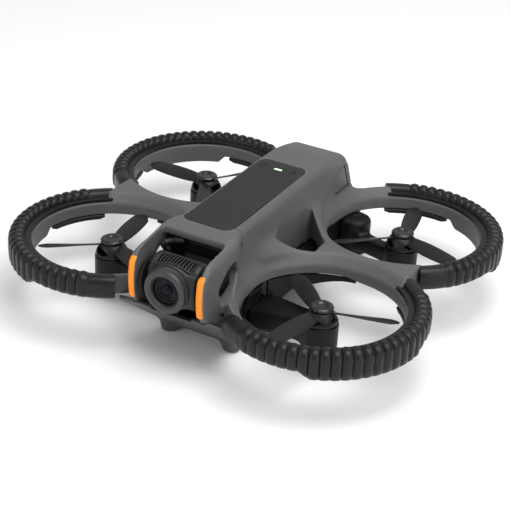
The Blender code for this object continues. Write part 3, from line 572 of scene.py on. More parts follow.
worn, given, made = new_group("worn_edges", [("Amount", "value")], [("Mask", "value")])
edge = span(worn, worn.nodes.new("ShaderNodeNewGeometry").outputs["Pointiness"], 0.515, 0.56, 0.0, 1.0)
patchy = span(worn, noise(worn, 140.0, 3.0), 0.3, 0.7, 0.35, 1.0)
rubbed = maths(worn, "MULTIPLY", edge, patchy)
worn.links.new(maths(worn, "MULTIPLY", rubbed, given["Amount"]), made["Mask"])

dusty, given, made = new_group("settled_dust", [("Amount", "value")], [("Mask", "value")])
facing = dusty.nodes.new("ShaderNodeSeparateXYZ")
dusty.links.new(dusty.nodes.new("ShaderNodeNewGeometry").outputs["Normal"], facing.inputs[0])
upward = span(dusty, facing.outputs["Z"], 0.2, 1.0, 0.0, 1.0)
specks = span(dusty, noise(dusty, 900.0, 4.0), 0.5, 0.75, 0.0, 1.0)
settled = maths(dusty, "MULTIPLY", upward, specks)
dusty.links.new(maths(dusty, "MULTIPLY", settled, given["Amount"]), made["Mask"])


def placed_group(tree, group, **values):
    node = tree.nodes.new("ShaderNodeGroup")
    node.node_tree = group
    for title, value in values.items():
        node.inputs[title.replace("_", " ")].default_value = value
    return node.outputs


def moulding(name, colour, pale, grain_size, roughness, spread, bump, wear=0.3, dust=0.1, **shader_values):
    """A moulded plastic or rubber. Sizes are in millimetres, colours linear."""
    material = bpy.data.materials.new(name)
    material.use_nodes = True
    tree = material.node_tree
    shader = tree.nodes["Principled BSDF"]
    surface = placed_group(
        tree,
        moulded,
        Colour=(*colour, 1.0),
        Pale_Colour=(*pale, 1.0),
        Grain_Scale=1000.0 / grain_size,
        Roughness=roughness,
        Spread=spread,
    )
    edge_tone = [min(1.0, c * 1.7 + 0.02) for c in pale]
    tinted = colour_mix(
        tree, placed_group(tree, worn, Amount=wear)["Mask"], surface["Colour"], (*edge_tone, 1.0)
    )
    tinted = colour_mix(tree, placed_group(tree, dusty, Amount=dust)["Mask"], tinted, (0.35, 0.34, 0.33, 1.0))
    tree.links.new(tinted, shader.inputs["Base Color"])
    tree.links.new(surface["Roughness"], shader.inputs["Roughness"])
    relief = tree.nodes.new("ShaderNodeBump")
    relief.inputs["Strength"].default_value = bump
    relief.inputs["Distance"].default_value = 0.05 * MM
    tree.links.new(surface["Height"], relief.inputs["Height"])
    tree.links.new(relief.outputs[0], shader.inputs["Normal"])
    for title, value in shader_values.items():
        shader.inputs[title.replace("_", " ")].default_value = value
    return material


def piece(name, mesh, material, body="airframe", replaces=(), crease=40):
    """Puts a finished mesh in the scene, on its body."""
    mesh.materials.clear()
    mesh.materials.append(material)
    mesh.set_sharp_from_angle(angle=math.radians(crease))
    obj = bpy.data.objects.new(name, mesh)
    scene.collection.objects.link(obj)
    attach(obj, body)
    if replaces:
        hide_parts(*replaces)
    return obj


def finished(node, material):
    """A frame node that stays as it is and takes a finish."""
    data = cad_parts[node].data
    data.materials.clear()
    data.materials.append(material)


SHELL_GREY = moulding(
    "shell_grey_satin", (0.089, 0.089, 0.091), (0.101, 0.101, 0.103),
    grain_size=0.7, roughness=0.5, spread=0.1, bump=0.35, wear=0.25, dust=0.05, Specular_IOR_Level=0.4,
)
CORNERS = {"front_left": (1, -1), "front_right": (-1, -1), "rear_left": (1, 1), "rear_right": (-1, 1)}
piece(
    "upper_shell",
    upper_shell,
    SHELL_GREY,
    replaces=["fuselage_shell", "nose_cage"] + [f"{corner}_guard" for corner in CORNERS],
    crease=50,
)

# ---------------------------------------------------------------- roof panel and status light
# A flat matt cover let into the roof over the antennas, with a hairline gap all round. A slot near its
# rear edge shows the status light, between two small sealed microphone ports.

def softened(mesh, width, segments=2, angle=35):
    """The mesh with its edges rounded."""

    def dress(holder):
        step = holder.modifiers.new("edges", "BEVEL")
        step.width = width * MM
        step.segments = segments
        step.limit_method = "ANGLE"
        step.angle_limit = math.radians(angle)
        step.harden_normals = False

    return evaluated(mesh, dress)


PANEL_THICK = 1.2
PANEL_EDGE = 0.3
PANEL_GREY = moulding(
    "panel_matt", (0.017, 0.017, 0.0175), (0.021, 0.021, 0.0215),
    grain_size=0.5, roughness=0.55, spread=0.06, bump=0.2, wear=0.2, dust=0.05, Specular_IOR_Level=0.25,
)
panel = leaning(slab("roof_panel", panel_outline(0.0), roof_top - PANEL_THICK, roof_top))
panel = softened(panel, PANEL_EDGE, 3)
port_cuts = [box("light_slot", (-2.6, 15.3, 60.0), (2.6, 17.7, 70.0))]
for sign in (1, -1):
    port = [(1.6, 0.5), (1.6, -0.45), (1.15, -0.45), (1.15, 0.5)]
    port_cuts.append(turned("port_ring", port, (sign * 8.6, 17.2, roof_top), steps=32))
panel = combined(panel, port_cuts)
piece("roof_panel", panel, PANEL_GREY, replaces=["top_panel"])

LIGHT_GREEN = moulding(
    "light_pipe", (0.5, 0.95, 0.5), (0.6, 1.0, 0.6),
    grain_size=1.0, roughness=0.3, spread=0.05, bump=0.05, wear=0.0, dust=0.0,
)
glow = LIGHT_GREEN.node_tree
glow_shader = glow.nodes["Principled BSDF"]
# The diffuser glows unevenly over its diode.
patches = span(glow, noise(glow, 300.0, 0.0), 0.3, 0.7, 0.0, 1.0)
glow.links.new(
    colour_mix(glow, patches, (0.55, 1.0, 0.5, 1), (0.85, 1.0, 0.8, 1)),
    glow_shader.inputs["Emission Color"],
)
glow_shader.inputs["Emission Strength"].default_value = 0.55
light = slab("light_pipe", round_corners(-2.3, 2.3, 15.6, 17.4, 0.8, 4), roof_top - 1.1, roof_top - 0.25)
piece("light_pipe", softened(light, 0.15), LIGHT_GREEN, replaces=["status_light"])

# ---------------------------------------------------------------- rubber bumpers
# Each ring wears a moulded rubber sleeve. It hooks over the ring's top edge with a smooth inner lip, and
# swells into round ribs over the crest and the outside, between a plain cuff at each end.

CUFF = 16.0
RIBBED = BUMPER_END - BUMPER_START - 2 * CUFF
CUFF_SAMPLES = (0.0, 0.5, 1.2, 5.0, 10.0, 14.0, 15.0)
END_DRAW = 0.1
RIBS = 26
RIB_SAMPLES = 7
RIB_DEEP = 1.2
SLEEVE_TOP = 39.9
SLEEVE_REACH = 53.2
RUBBER = moulding(
    "bumper_rubber", (0.006, 0.006, 0.0062), (0.009, 0.009, 0.0092),
    grain_size=0.6, roughness=0.32, spread=0.1, bump=0.2, wear=0.1, dust=0.01, Specular_IOR_Level=0.27,
)


def skirt_at(turn):
    """How far the ring's deep outer skirt hangs below its edge at a turn."""
    return 4.0 * (float(ramp(turn, -4, 3)) - float(ramp(turn, 68, 75)))


def about_rotor(corner, radius, turn, height):
    """A point about a propeller axis. Turn 0 points away from the fuselage, 90 to the nose or the tail."""
    side_sign, end_sign = CORNERS[corner]
    a = math.radians(turn)
    return (
        side_sign * (TRACK_HALF + radius * math.cos(a)),
        end_sign * (BASE_HALF + radius * math.sin(a)),
        height,
    )


def placed_section(corner, section, turn):
    """(radius, height) points stood up at one turn about a propeller axis."""
    return [about_rotor(corner, radius, turn, height) for radius, height in section]


def sleeve_section(turn):
    """(radius, height) points round the sleeve, inner lip first."""
    low = RING_BOTTOM - 0.5 - skirt_at(turn) * 0.8
    along = min(max((turn - BUMPER_START - CUFF) / RIBBED, 0.0), 1.0)
    near_cuff = float(ramp(min(turn - BUMPER_START, BUMPER_END - turn), CUFF - 1.0, CUFF + 1.0))
    swell = near_cuff * abs(math.sin(math.pi * RIBS * along)) ** 0.5 + 0.4 * (1 - near_cuff)
    points = [(RING_INNER + 0.9, COVERED_TOP + 0.4), (RING_INNER + 0.6, COVERED_TOP + 0.9)]
    points.append((RING_INNER + 1.0, COVERED_TOP + 1.7))
    middle = (RING_INNER + 2.2 + SLEEVE_REACH) / 2
    crest, centre_z = SLEEVE_TOP - RIB_DEEP, COVERED_TOP + 0.4
    outside = SLEEVE_REACH - RIB_DEEP
    wide = outside - middle
    steps = 13
    for i in range(steps + 1):
        a = math.radians(160 - 160 * i / steps)
        bulge = RIB_DEEP * swell * min(max((i - 0.5) / 4.0, 0.0), 1.0)
        u = math.copysign(abs(math.cos(a)) ** 0.88, math.cos(a))
        v = abs(math.sin(a)) ** 0.88
        points.append((middle + (wide + bulge) * u, centre_z + (crest - centre_z + bulge) * v))
    bulge = RIB_DEEP * swell
    points += [(outside + bulge, low + 5.0), (outside - 0.3 + bulge, low + 2.4)]
    points += [(outside - 1.4 + bulge * 0.6, low + 0.7), (outside - 3.2 + bulge * 0.2, low)]
    against = RING_OUTER + 0.35
    return points + [(against, low), (against, low + 4.0), (against, centre_z)]


def sleeve(corner):
    """One ring's rubber sleeve, its sections drawn in slightly at both ends."""
    count = RIBS * RIB_SAMPLES
    turns = [BUMPER_START + CUFF + RIBBED * i / count for i in range(count + 1)]
    before = [BUMPER_START + f for f in CUFF_SAMPLES]
    after = [BUMPER_END - f for f in reversed(CUFF_SAMPLES)]
    rings = []
    for turn in before + turns + after:
        end = min(turn - BUMPER_START, BUMPER_END - turn)
        inset = 0.9 * (1 - float(ramp(end, -0.6, 1.2)))
        section = sleeve_section(turn)
        middle = (RING_OUTER + 3.0, COVERED_TOP + 1.0)
        if inset:
            drawn = []
            for i, (radius, height) in enumerate(section):
                if i < len(section) - 3:
                    radius += (middle[0] - radius) * END_DRAW * inset
                    height += (middle[1] - height) * END_DRAW * inset
                drawn.append((radius, height))
            section = drawn
        rings.append(placed_section(corner, section, turn))
    return sweep(f"{corner}_ribbed_bumper", rings)


for corner in CORNERS:
    piece(
        f"{corner}_ribbed_bumper",
        sleeve(corner),
        RUBBER,
        replaces=[f"{corner}_bumper"],
        crease=60,
    )

# ---------------------------------------------------------------- duct lips and liners
# Soft black strips sit under each ring's inner edge, beside the skirt, and a thin black wall lines the duct
# inboard, below the grey web, down to the lower hull.

LIP_BLACK = moulding(
    "lip_black", (0.007, 0.007, 0.007), (0.01, 0.01, 0.01),
    grain_size=0.5, roughness=0.45, spread=0.1, bump=0.3, wear=0.15, dust=0.03, Specular_IOR_Level=0.3,
)


def lip(corner, name, start, end, node):
    """A strip under the ring's inner edge between two turns, thinner at both ends."""
    rings = []
    steps = 24
    top = RING_BOTTOM - 0.3
    for i in range(steps + 1):
        turn = start + (end - start) * i / steps
        taper = min(1.0, 0.55 + 0.45 * min(i, steps - i) / 2)
        low = top - 2.6 * taper
        outline = [(-0.1, top - 0.3), (-0.1, low + 0.5), (0.4, low), (1.5, low), (1.9, low + 0.5), (1.9, top)]
        section = [(RING_INNER + step, height) for step, height in outline + [(0.2, top)]]
        rings.append(placed_section(corner, section, turn))
    piece(name, sweep(name, rings), LIP_BLACK, replaces=[node])


for corner in CORNERS:
    lip(corner, f"{corner}_inboard_lip", -50.0, -6.0, f"{corner}_inboard_strip")
    lip(corner, f"{corner}_end_lip", 78.0, 128.0, f"{corner}_end_strip")

LINER_WALL = 1.3
LINER_TOP = 28.6
LINER_START = -92.0
LINER_SPAN = 66.0
LINER_STEPS = 40
BLACK_PLASTIC = moulding(
    "black_plastic", (0.005, 0.005, 0.0052), (0.008, 0.008, 0.0082),
    grain_size=0.7, roughness=0.4, spread=0.12, bump=0.3, wear=0.15, dust=0.02, Specular_IOR_Level=0.2,
)
for corner in CORNERS:
    rings = []
    for i in range(LINER_STEPS + 1):
        turn = LINER_START - LINER_SPAN * i / LINER_STEPS
        foot = LINER_TOP - 1.8 - 7.0 * float(ramp(-turn, -LINER_START, 150.0))
        inside = RING_INNER + 0.2
        outside = inside + LINER_WALL
        section = [(inside, LINER_TOP), (inside, foot), (outside, foot), (outside, LINER_TOP)]
        rings.append(placed_section(corner, section, turn))
    piece(f"{corner}_duct_liner", sweep("duct_liner", rings), BLACK_PLASTIC)

# ---------------------------------------------------------------- lower hull
# The black tub under the fuselage. It holds the speed controllers, carries the four motor arms and stands
# on two rear feet; the front feet belong to the chin.

HULL_HALF = 19.3
HULL_FRONT = -53.0
HULL_BACK = 74.0
FOOT_RADIUS = 4.6
HULL_STEP = 0.7
HULL_START = (0.0, -60.0, -1.0)
X, Y, Z = lattice(HULL_START, (40.0, 77.0, 28.5), HULL_STEP)
middle_y = (HULL_FRONT + HULL_BACK) / 2
hull = rounded(
    [X - HULL_HALF, np.abs(Y - middle_y) - (HULL_BACK - HULL_FRONT) / 2, np.abs(Z - 18.0) - 14.4], 4.0
)
foot = rounded([apart(X - 14.1, Y - 66.0) - FOOT_RADIUS, np.abs(Z - 4.0) - 4.0], 1.6)
hull = merge(hull, foot, 1.5)
# A shelf closes the hollow between the webs from below.
SHELF = [(15.0, -24.0), (22.0, -22.0), (38.5, -8.0), (38.5, 5.0), (15.0, 31.0)]
shelf = rounded([polygon(X, Y, SHELF, 2.0), np.abs(Z - 26.1) - 0.9], 0.5)
hull = merge(hull, shelf, 1.0)
hull = np.maximum(hull, Z - 26.7)
hull = np.maximum(hull, -rounded([X - HULL_HALF + 2.4, np.abs(Y - middle_y) - 61.1, 6.0 - Z], 1.0))
cover_line = np.abs(rounded([X - 13.0, np.abs(Y - 4.0) - 40.0], 5.0)) - 0.35
hull = carve(hull, np.maximum(cover_line, Z - 4.3), 0.2)
for screw_y in (-44.0, 52.0):
    hull = carve(hull, np.maximum(apart(X - 15.6, Y - screw_y) - 1.6, Z - 5.2), 0.3)
slots = np.maximum(np.abs(np.mod(Y + 2.0, 4.0) - 2.0) - 0.8, np.maximum(np.abs(Y + 14.0) - 14.0, X - 8.0))
hull = carve(hull, np.maximum(slots, Z - 4.5), 0.3)
lower_hull = skin("lower_tub", hull, HULL_START, HULL_STEP, both_sides=True)
piece("lower_tub", lower_hull, BLACK_PLASTIC, replaces=["lower_hull"], crease=50)

# ---------------------------------------------------------------- chin
# A grey plate slopes from the cage's lower edge down to the two front feet. It spreads into a flare under
# each front ring, and small scallops run along its lower edge.

# The chin is the same grey plastic as the shell. This darker copy of the shell's colour is painted shade for
# the chin's forward and downward slope, not a different plastic.
CHIN_SHADED_GREY = moulding(
    "chin_grey_painted_shade", (0.052, 0.052, 0.0535), (0.06, 0.06, 0.0615),
    grain_size=0.7, roughness=0.5, spread=0.1, bump=0.35, wear=0.25, dust=0.05, Specular_IOR_Level=0.4,
)
CHIN_START = (0.0, -94.0, -0.6)
CHIN_STEP = 0.5
X, Y, Z = lattice(CHIN_START, (38.0, -50.0, 32.0), CHIN_STEP)
CHIN_TOP = 30.6
CHIN_FRONT = -89.6
CHIN_TOE = -57.0
CHIN_BACK = -53.6
CHIN_FOOT_X = 18.2
CHIN_FOOT_RADIUS = 4.1
TILT = (0.0, -81.0, 43.5)
LENS_SWEEP = 17.2
slope = np.array((CHIN_TOE - CHIN_FRONT, 2.6 - CHIN_TOP))
slope /= np.hypot(*slope)
down = (Y - CHIN_FRONT) * slope[0] + (Z - CHIN_TOP) * slope[1]
out = (Y - CHIN_FRONT) * slope[1] - (Z - CHIN_TOP) * slope[0]
half_width = 20.6 + 12.0 * ramp(down, 0.0, 9.0) - 12.6 * ramp(down, 9.0, 42.0)
scallop = 0.45 * np.cos(X * math.tau / 4.2) * (X < 12.5)
plate = rounded([(X - half_width) * 0.8, np.abs(out + 1.0) - 1.0, np.abs(down - 21.5) - 22.7 - scallop], 0.9)
foot = apart(X - CHIN_FOOT_X, Y - CHIN_BACK + 4.4) - CHIN_FOOT_RADIUS
foot = rounded([foot, np.abs(Z - 4.5) - 4.5], 1.8)
plate = merge(plate, foot, 5.5)
wall = rounded([np.abs(X - 19.4) - 0.9, out, Y - CHIN_BACK + 0.3, 4.0 - Z], 0.6)
plate = merge(plate, wall, 1.0)
plate = np.maximum(np.maximum(plate, Z - 30.4), Y - CHIN_BACK)
# The notch at the top edge leaves room for the lens ring when the camera looks down.
swing = np.maximum(apart(Y - TILT[1], Z - TILT[2]) - LENS_SWEEP, X - 12.2)
plate = carve(plate, swing, 0.5)
chin = skin("chin_prow", plate, CHIN_START, CHIN_STEP, both_sides=True)
piece("chin_prow", chin, CHIN_SHADED_GREY, replaces=["chin_plate"], crease=50)

# ---------------------------------------------------------------- side vents
# Behind each cheek a black grille stands on the hull's side: a raised frame round slanted ribs.

SIDES = {"left": 1, "right": -1}
VENT_LOW = 18.5
VENT_HIGH = 26.2
VENT_FRONT = -49.5
VENT_REAR = VENT_FRONT + 18.0
VENT_LEAN = 4.0
VENT_SLOTS = 4
VENT_PITCH = 3.15
for name, sign in SIDES.items():
    grille = beside("grille", [
        (VENT_FRONT, VENT_LOW), (VENT_REAR - VENT_LEAN, VENT_LOW),
        (VENT_REAR, VENT_HIGH), (VENT_FRONT + VENT_LEAN, VENT_HIGH),
    ], sign, 19.6, 20.9)
    low, high = VENT_LOW + 1.0, VENT_HIGH - 1.0
    holes = []
    for i in range(VENT_SLOTS):
        start = VENT_FRONT + 1.5 + i * VENT_PITCH
        hole = [(start, low), (start + 1.7, low), (start + 4.7, high), (start + 3.0, high)]
        holes.append(slab("slot", hole, -40, 40, "X"))
    grille = softened(combined(grille, holes), 0.2)
    piece(f"{name}_vent_grille", grille, BLACK_PLASTIC, replaces=[f"{name}_side_vent"])

# ---------------------------------------------------------------- marker strips
# Two glossy orange strips are snapped into the cage's front edges. Each follows the edge from the chin to
# the brow, narrows at both ends and wraps slightly round the corner.

ORANGE = moulding(
    "marker_orange", (0.9, 0.25, 0.014), (0.96, 0.29, 0.02),
    grain_size=1.2, roughness=0.34, spread=0.05, bump=0.05, wear=0.1, dust=0.0, Specular_IOR_Level=0.3,
)


MARKER_X = 19.0
MARKER_LOW = 33.6
MARKER_TALL = 23.0
MARKER_HALF = 1.5
MARKER_LIFT = 0.85


def marker(sign):
    """One strip, from its lower end up, with its samples close together at the ends."""
    rings = []
    steps = 40
    for i in range(steps + 1):
        end = math.sin(math.pi * i / steps)
        t = (1 - math.cos(math.pi * i / steps)) / 2
        z = MARKER_LOW + MARKER_TALL * t
        y = float(cage_front(z)) + 0.25
        y = y + 2.2 * max(0.0, (t - 0.84) / 0.16) ** 2 + 1.4 * max(0.0, (0.1 - t) / 0.1) ** 2
        full = max(min(1.0, end * 2.2), 0.1)
        middle = MARKER_X + 0.4 * (1 - full)
        half = MARKER_HALF * full
        lift = MARKER_LIFT * full
        section = [
            (middle - half, y + 0.5),
            (middle - half, y - lift * 0.35),
            (middle - half * 0.8, y - lift * 0.85),
            (middle, y - lift),
            (middle + half * 0.6, y - lift * 0.75),
            (middle + half, y - lift * 0.15),
            (middle + half, y + 0.9),
            (middle + half * 0.7, y + 1.2),
        ]
        rings.append([(sign * x, v, z) for x, v in section])
    return sweep("marker", rings)


for name, sign in SIDES.items():
    cad_strip = f"{name}_marker_strip"
    piece(f"{name}_orange_marker", marker(sign), ORANGE, replaces=[cad_strip], crease=60)

# ---------------------------------------------------------------- motor arms
# Each arm is one black moulding: a beam from the hull's side that ends in a cup for the motor. The front
# beams are broad and flat, and the rear ones thin down from a round shoulder.

POD_RADIUS = 9.0
POD_LOW = 12.0
POD_TOP = 25.5
POD_FLOOR = 14.0
ARM_STEP = 0.6


def beam(X, Y, Z, stations, round_edge):
    """A smooth bar through (x, y, half width, low, high) stations."""
    at = np.clip(X, stations[0][0], stations[-1][0])
    xs = [s[0] for s in stations]
    y, half, low, high = (np.interp(at, xs, [s[i] for s in stations]) for i in (1, 2, 3, 4))
    length = np.abs(X - (xs[0] + xs[-1]) / 2) - (xs[-1] - xs[0]) / 2
    height = np.abs(Z - (low + high) / 2) - (high - low) / 2
    return rounded([np.abs(Y - y) - half, height, length], round_edge)


ARM_START = (19.0, 26.0, 3.0)
ARM_ROOT = 19.6
FRONT_BEAM = [
    (19.6, 36.0, 10.5, 6.0, 18.5),
    (29.0, 37.6, 9.6, 8.0, 20.4),
    (42.0, 41.2, 8.2, 11.0, 22.6),
    (51.0, 44.2, 7.4, 12.0, 24.6),
    (58.0, 46.2, 7.0, 12.6, 25.0),
]
REAR_BEAM = [
    (30.0, 60.4, 5.0, 9.5, 19.0),
    (36.0, 57.6, 4.4, 10.5, 19.6),
    (46.0, 53.0, 4.0, 11.5, 20.8),
    (58.0, 48.2, 4.2, 12.6, 22.4),
]
for corner, (side_sign, end_sign) in CORNERS.items():
    X, Y, Z = lattice(ARM_START, (72.0, 76.0, 30.0), ARM_STEP)
    round_pod = apart(X - TRACK_HALF, Y - BASE_HALF)
    pod_height = np.abs(Z - (POD_TOP + POD_LOW) / 2) - (POD_TOP - POD_LOW) / 2
    pod = rounded([round_pod - POD_RADIUS, pod_height], 0.9)
    if end_sign < 0:
        arm = merge(pod, beam(X, Y, Z, FRONT_BEAM, 2.6), 2.5)
    else:
        shoulder = rounded([apart(X - 26.2, Y - 63.2) - 8.4, np.abs(Z - 15.8) - 10.6], 3.0)
        flange = rounded([np.abs(X - 22.0) - 2.5, np.abs(Y - 64.5) - 9.0, np.abs(Z - 15.6) - 10.2], 1.5)
        shoulder = merge(shoulder, flange, 2.0)
        arm = merge(merge(pod, beam(X, Y, Z, REAR_BEAM, 1.8), 2.0), shoulder, 3.5)
        # A seam crosses the shoulder where its cover meets the beam.
        split = np.abs((X - 24.5) * 0.86 - (Y - 63.0) * 0.5) - 0.3
        arm = carve(arm, np.maximum(split, -(shoulder + 0.7)), 0.3)
    cup = rounded([round_pod - POD_RADIUS + 1.25, POD_FLOOR - Z], 0.5)
    ledge = rounded([round_pod - POD_RADIUS + 0.75, POD_TOP - 0.5 - Z], 0.2)
    arm = carve(carve(arm, cup, 0.4), ledge, 0.3)
    made = skin("arm", np.maximum(arm, ARM_ROOT - X), ARM_START, ARM_STEP)
    for vertex in made.vertices:
        vertex.co.x *= side_sign
        vertex.co.y *= end_sign
    if side_sign * end_sign < 0:
        made.flip_normals()
    piece(f"{corner}_motor_arm", made, BLACK_PLASTIC, replaces=[f"{corner}_arm"], crease=50)

# ---------------------------------------------------------------- motors
# The outer bell turns over the copper windings. Its painted dome has three eye-shaped openings for cooling
# and closes under the propeller's hub.

MOTOR_METAL = moulding(
    "motor_paint", (0.007, 0.007, 0.0073), (0.01, 0.01, 0.0103),
    grain_size=0.8, roughness=0.34, spread=0.12, bump=0.15, wear=0.2, dust=0.02, Specular_IOR_Level=0.3,
)
COPPER = moulding(
    "copper_wire", (0.3, 0.12, 0.05), (0.42, 0.18, 0.07),
    grain_size=0.35, roughness=0.35, spread=0.1, bump=0.8, wear=0.3, dust=0.0, Metallic=0.9,
)
EYES = 3
EYE_TURNS = {"front_left": -40.0, "front_right": -52.0, "rear_left": -78.0, "rear_right": -60.0}
EYE_HALF = 5.0
EYE_Z = 28.5
EYE_POINTS = 24
DOME = [
    (0, 32.4), (5.0, 32.4), (6.0, 31.6), (7.2, 29.8), (8.1, 27.9), (8.6, 26.4), (8.6, 25.95), (8.3, 25.8),
    (7.2, 25.75), (6.9, 25.2), (6.9, 15.0), (5.8, 15.0), (5.8, 24.4), (6.9, 26.6), (6.6, 28.4), (5.8, 30.0),
    (4.6, 31.0), (0, 31.2),
]
for corner in CORNERS:
    centre = about_rotor(corner, 0, 0, 0)
    bell = turned("bell", DOME, centre, steps=72)
    eyes = []
    for i in range(EYES):
        a = math.radians(EYE_TURNS[corner] + i * 360 / EYES)
        eye_outline = []
        for j in range(EYE_POINTS):
            t = math.tau * j / EYE_POINTS
            rise = 1.75 * math.copysign(abs(math.sin(t)) ** 1.3, math.sin(t)) + 0.3 * math.cos(t)
            eye_outline.append((EYE_HALF * math.cos(t), EYE_Z + rise))
        eye = slab("eye", eye_outline, 3.0, 12.0, "Y")
        eye.transform(Matrix.Translation(Vector(centre) * MM) @ Matrix.Rotation(a + math.pi / 2, 4, "Z"))
        eyes.append(eye)
    bell = combined(bell, eyes)
    cad_bell = f"{corner}_motor_bell"
    piece(f"{corner}_motor_dome", bell, MOTOR_METAL, f"{corner}_rotor", [cad_bell])
    finished(f"{corner}_stator", COPPER)

# ---------------------------------------------------------------- propellers and their caps
# Three-bladed propellers of glass-filled nylon, one pair turning each way, clamped by a glossy cap with a
# dished top.

PROP_Z = 30.6
PROP_RADIUS = 38.1
PROP_HUB = 5.2
BLADES = 3
BLADE_SAMPLES = 36
BLADE_POINTS = 20
BLADE_CHORD = 10.0
BLADE_THICK = 1.1
TIP_FROM = 0.86
REST_TURNS = {"front_left": 20, "front_right": 95, "rear_left": 340, "rear_right": 60}
PROP_BLACK = moulding(
    "propeller_nylon", (0.01, 0.01, 0.0103), (0.014, 0.014, 0.0143),
    grain_size=0.5, roughness=0.32, spread=0.1, bump=0.12, wear=0.15, dust=0.0, Specular_IOR_Level=0.3,
)
GLOSS_BLACK = moulding(
    "cap_gloss", (0.008, 0.008, 0.0083), (0.011, 0.011, 0.0113),
    grain_size=1.2, roughness=0.2, spread=0.06, bump=0.03, wear=0.15, dust=0.02,
)


def blade(hand):
    """One blade along +X, from inside the hub to a rounded tip."""
    rings = []
    start = 0.55 * PROP_HUB
    for i in range(BLADE_SAMPLES + 1):
        radius = start + (PROP_RADIUS - start) * (1 - (1 - i / BLADE_SAMPLES) ** 1.4)
        t = max((radius - PROP_HUB) / (PROP_RADIUS - PROP_HUB), 0.0)
        tip = max(1 - max(t - TIP_FROM, 0.0) / (1 - TIP_FROM), 0.0) ** 0.5
        chord = BLADE_CHORD * (0.62 + 0.9 * t * (1.15 - t)) * (0.12 + 0.88 * tip)
        pitch = math.radians(30 - 20 * t)
        thick = BLADE_THICK * (1.15 - 0.55 * t) * (0.5 + 0.5 * tip)
        section = []
        for k in range(BLADE_POINTS):
            a = math.tau * k / BLADE_POINTS
            u = 0.5 * math.cos(a)
            v = 0.5 * math.sin(a) * (1.0 if math.sin(a) > 0 else 0.7) + 0.5 * (0.25 - u * u)
            section.append((
                radius,
                hand * (u * chord * math.cos(pitch) - v * thick * math.sin(pitch) + 1.2 * t),
                u * chord * math.sin(pitch) + v * thick * math.cos(pitch),
            ))
        rings.append(section)
    return np.array(rings)


HUB = [(0, 1.9), (4.6, 1.9), (PROP_HUB, 1.3), (PROP_HUB, -1.8), (4.8, -2.15), (0, -2.15)]
CAP = [
    (0, 33.7), (1.7, 33.7), (2.2, 33.75), (2.7, 34.1), (3.3, 34.45), (4.2, 34.65), (5.1, 34.5), (5.7, 34.1),
    (6.0, 33.6), (5.9, 33.1), (5.6, 32.9), (0, 32.9),
]
for corner, (side_sign, end_sign) in CORNERS.items():
    body_name = f"{corner}_rotor"
    centre = np.array(about_rotor(corner, 0, 0, PROP_Z))
    rotor = turned("hub", HUB, centre, steps=48)
    blades = []
    for i in range(BLADES):
        a = math.radians(REST_TURNS[corner] + i * 360 / BLADES)
        spin = np.array(((math.cos(a), -math.sin(a), 0), (math.sin(a), math.cos(a), 0), (0, 0, 1)))
        blades.append(sweep("blade", blade(side_sign * end_sign) @ spin.T + centre))
    rotor = combined(rotor, blades, "UNION")
    piece(f"{corner}_airscrew", rotor, PROP_BLACK, body_name, [f"{corner}_propeller"], 35)
    cap = turned("cap", CAP, about_rotor(corner, 0, 0, 0), steps=64)
    piece(f"{corner}_spinner_cap", cap, GLOSS_BLACK, body_name, [f"{corner}_hub_cap"])

# ---------------------------------------------------------------- nose camera
# A rounded camera barrel tilts between the ears of a yoke. Cooling fins stand on its top, a grey ring frames
# the lens, and a flat motor on its right side turns it.

CAMERA_GREY = moulding(
    "camera_satin", (0.013, 0.013, 0.0135), (0.018, 0.018, 0.0185),
    grain_size=0.6, roughness=0.42, spread=0.1, bump=0.25, wear=0.25, dust=0.03, Specular_IOR_Level=0.4,
)
CAMERA_START = (-15.0, -90.0, 31.0)
CAMERA_STEP = 0.45
X, Y, Z = lattice(CAMERA_START, (15.0, -71.0, 58.4), CAMERA_STEP)
axis_y, axis_z = TILT[1:]
LENS_FORWARD = (0, -1, 0)
barrel = rounded([np.abs(X) - 14.1, rounded([np.abs(Y + 79.2) - 8.8, np.abs(Z - axis_z) - 12.1], 8.2)], 2.6)
from_lens = apart(X, Z - axis_z)
nose = rounded([from_lens - 12.0, np.abs(Y + 83.0) - 5.0], 1.4)
housing = merge(barrel, nose, 2.5)
above = axis_z + 3.0 - Z
for seam_y in (-85.7, -77.0):
    seam = np.maximum(np.maximum(np.abs(Y - seam_y) - 0.25, above), -0.5 - barrel)
    housing = carve(housing, seam, 0.2)
FIN_PITCH = 1.78
slots = np.maximum(np.abs(np.mod(X + FIN_PITCH / 2, FIN_PITCH) - FIN_PITCH / 2) - 0.5, np.abs(X) - 10.5)
slots = np.maximum(np.maximum(slots, np.abs(Y + 81.4) - 3.3), np.maximum(above, -1.7 - barrel))
housing = carve(housing, slots, 0.15)
housing = np.maximum(housing, -(np.maximum(from_lens - 7.9, Y + 86.0)))
camera_body = skin("camera_barrel", housing, CAMERA_START, CAMERA_STEP)
piece("camera_barrel", camera_body, CAMERA_GREY, "camera", ["camera_housing"], 45)

LENS_GREY = moulding(
    "lens_ring_satin", (0.022, 0.022, 0.0225), (0.028, 0.028, 0.0285),
    grain_size=0.5, roughness=0.36, spread=0.06, bump=0.12, wear=0.3, dust=0.03, Specular_IOR_Level=0.5,
)
BEZEL = [
    (7.6, 11.3), (8.0, 11.9), (8.5, 12.35), (9.0, 12.5), (10.4, 12.5), (10.9, 12.3), (11.25, 11.7),
    (11.3, 10.2), (10.8, 9.9), (10.8, 9.4), (11.3, 9.1), (11.25, 7.4), (7.6, 7.4),
]
bezel = turned("lens_bezel", BEZEL, TILT, LENS_FORWARD, 96)
piece("lens_bezel", bezel, LENS_GREY, "camera", ["lens_ring"])

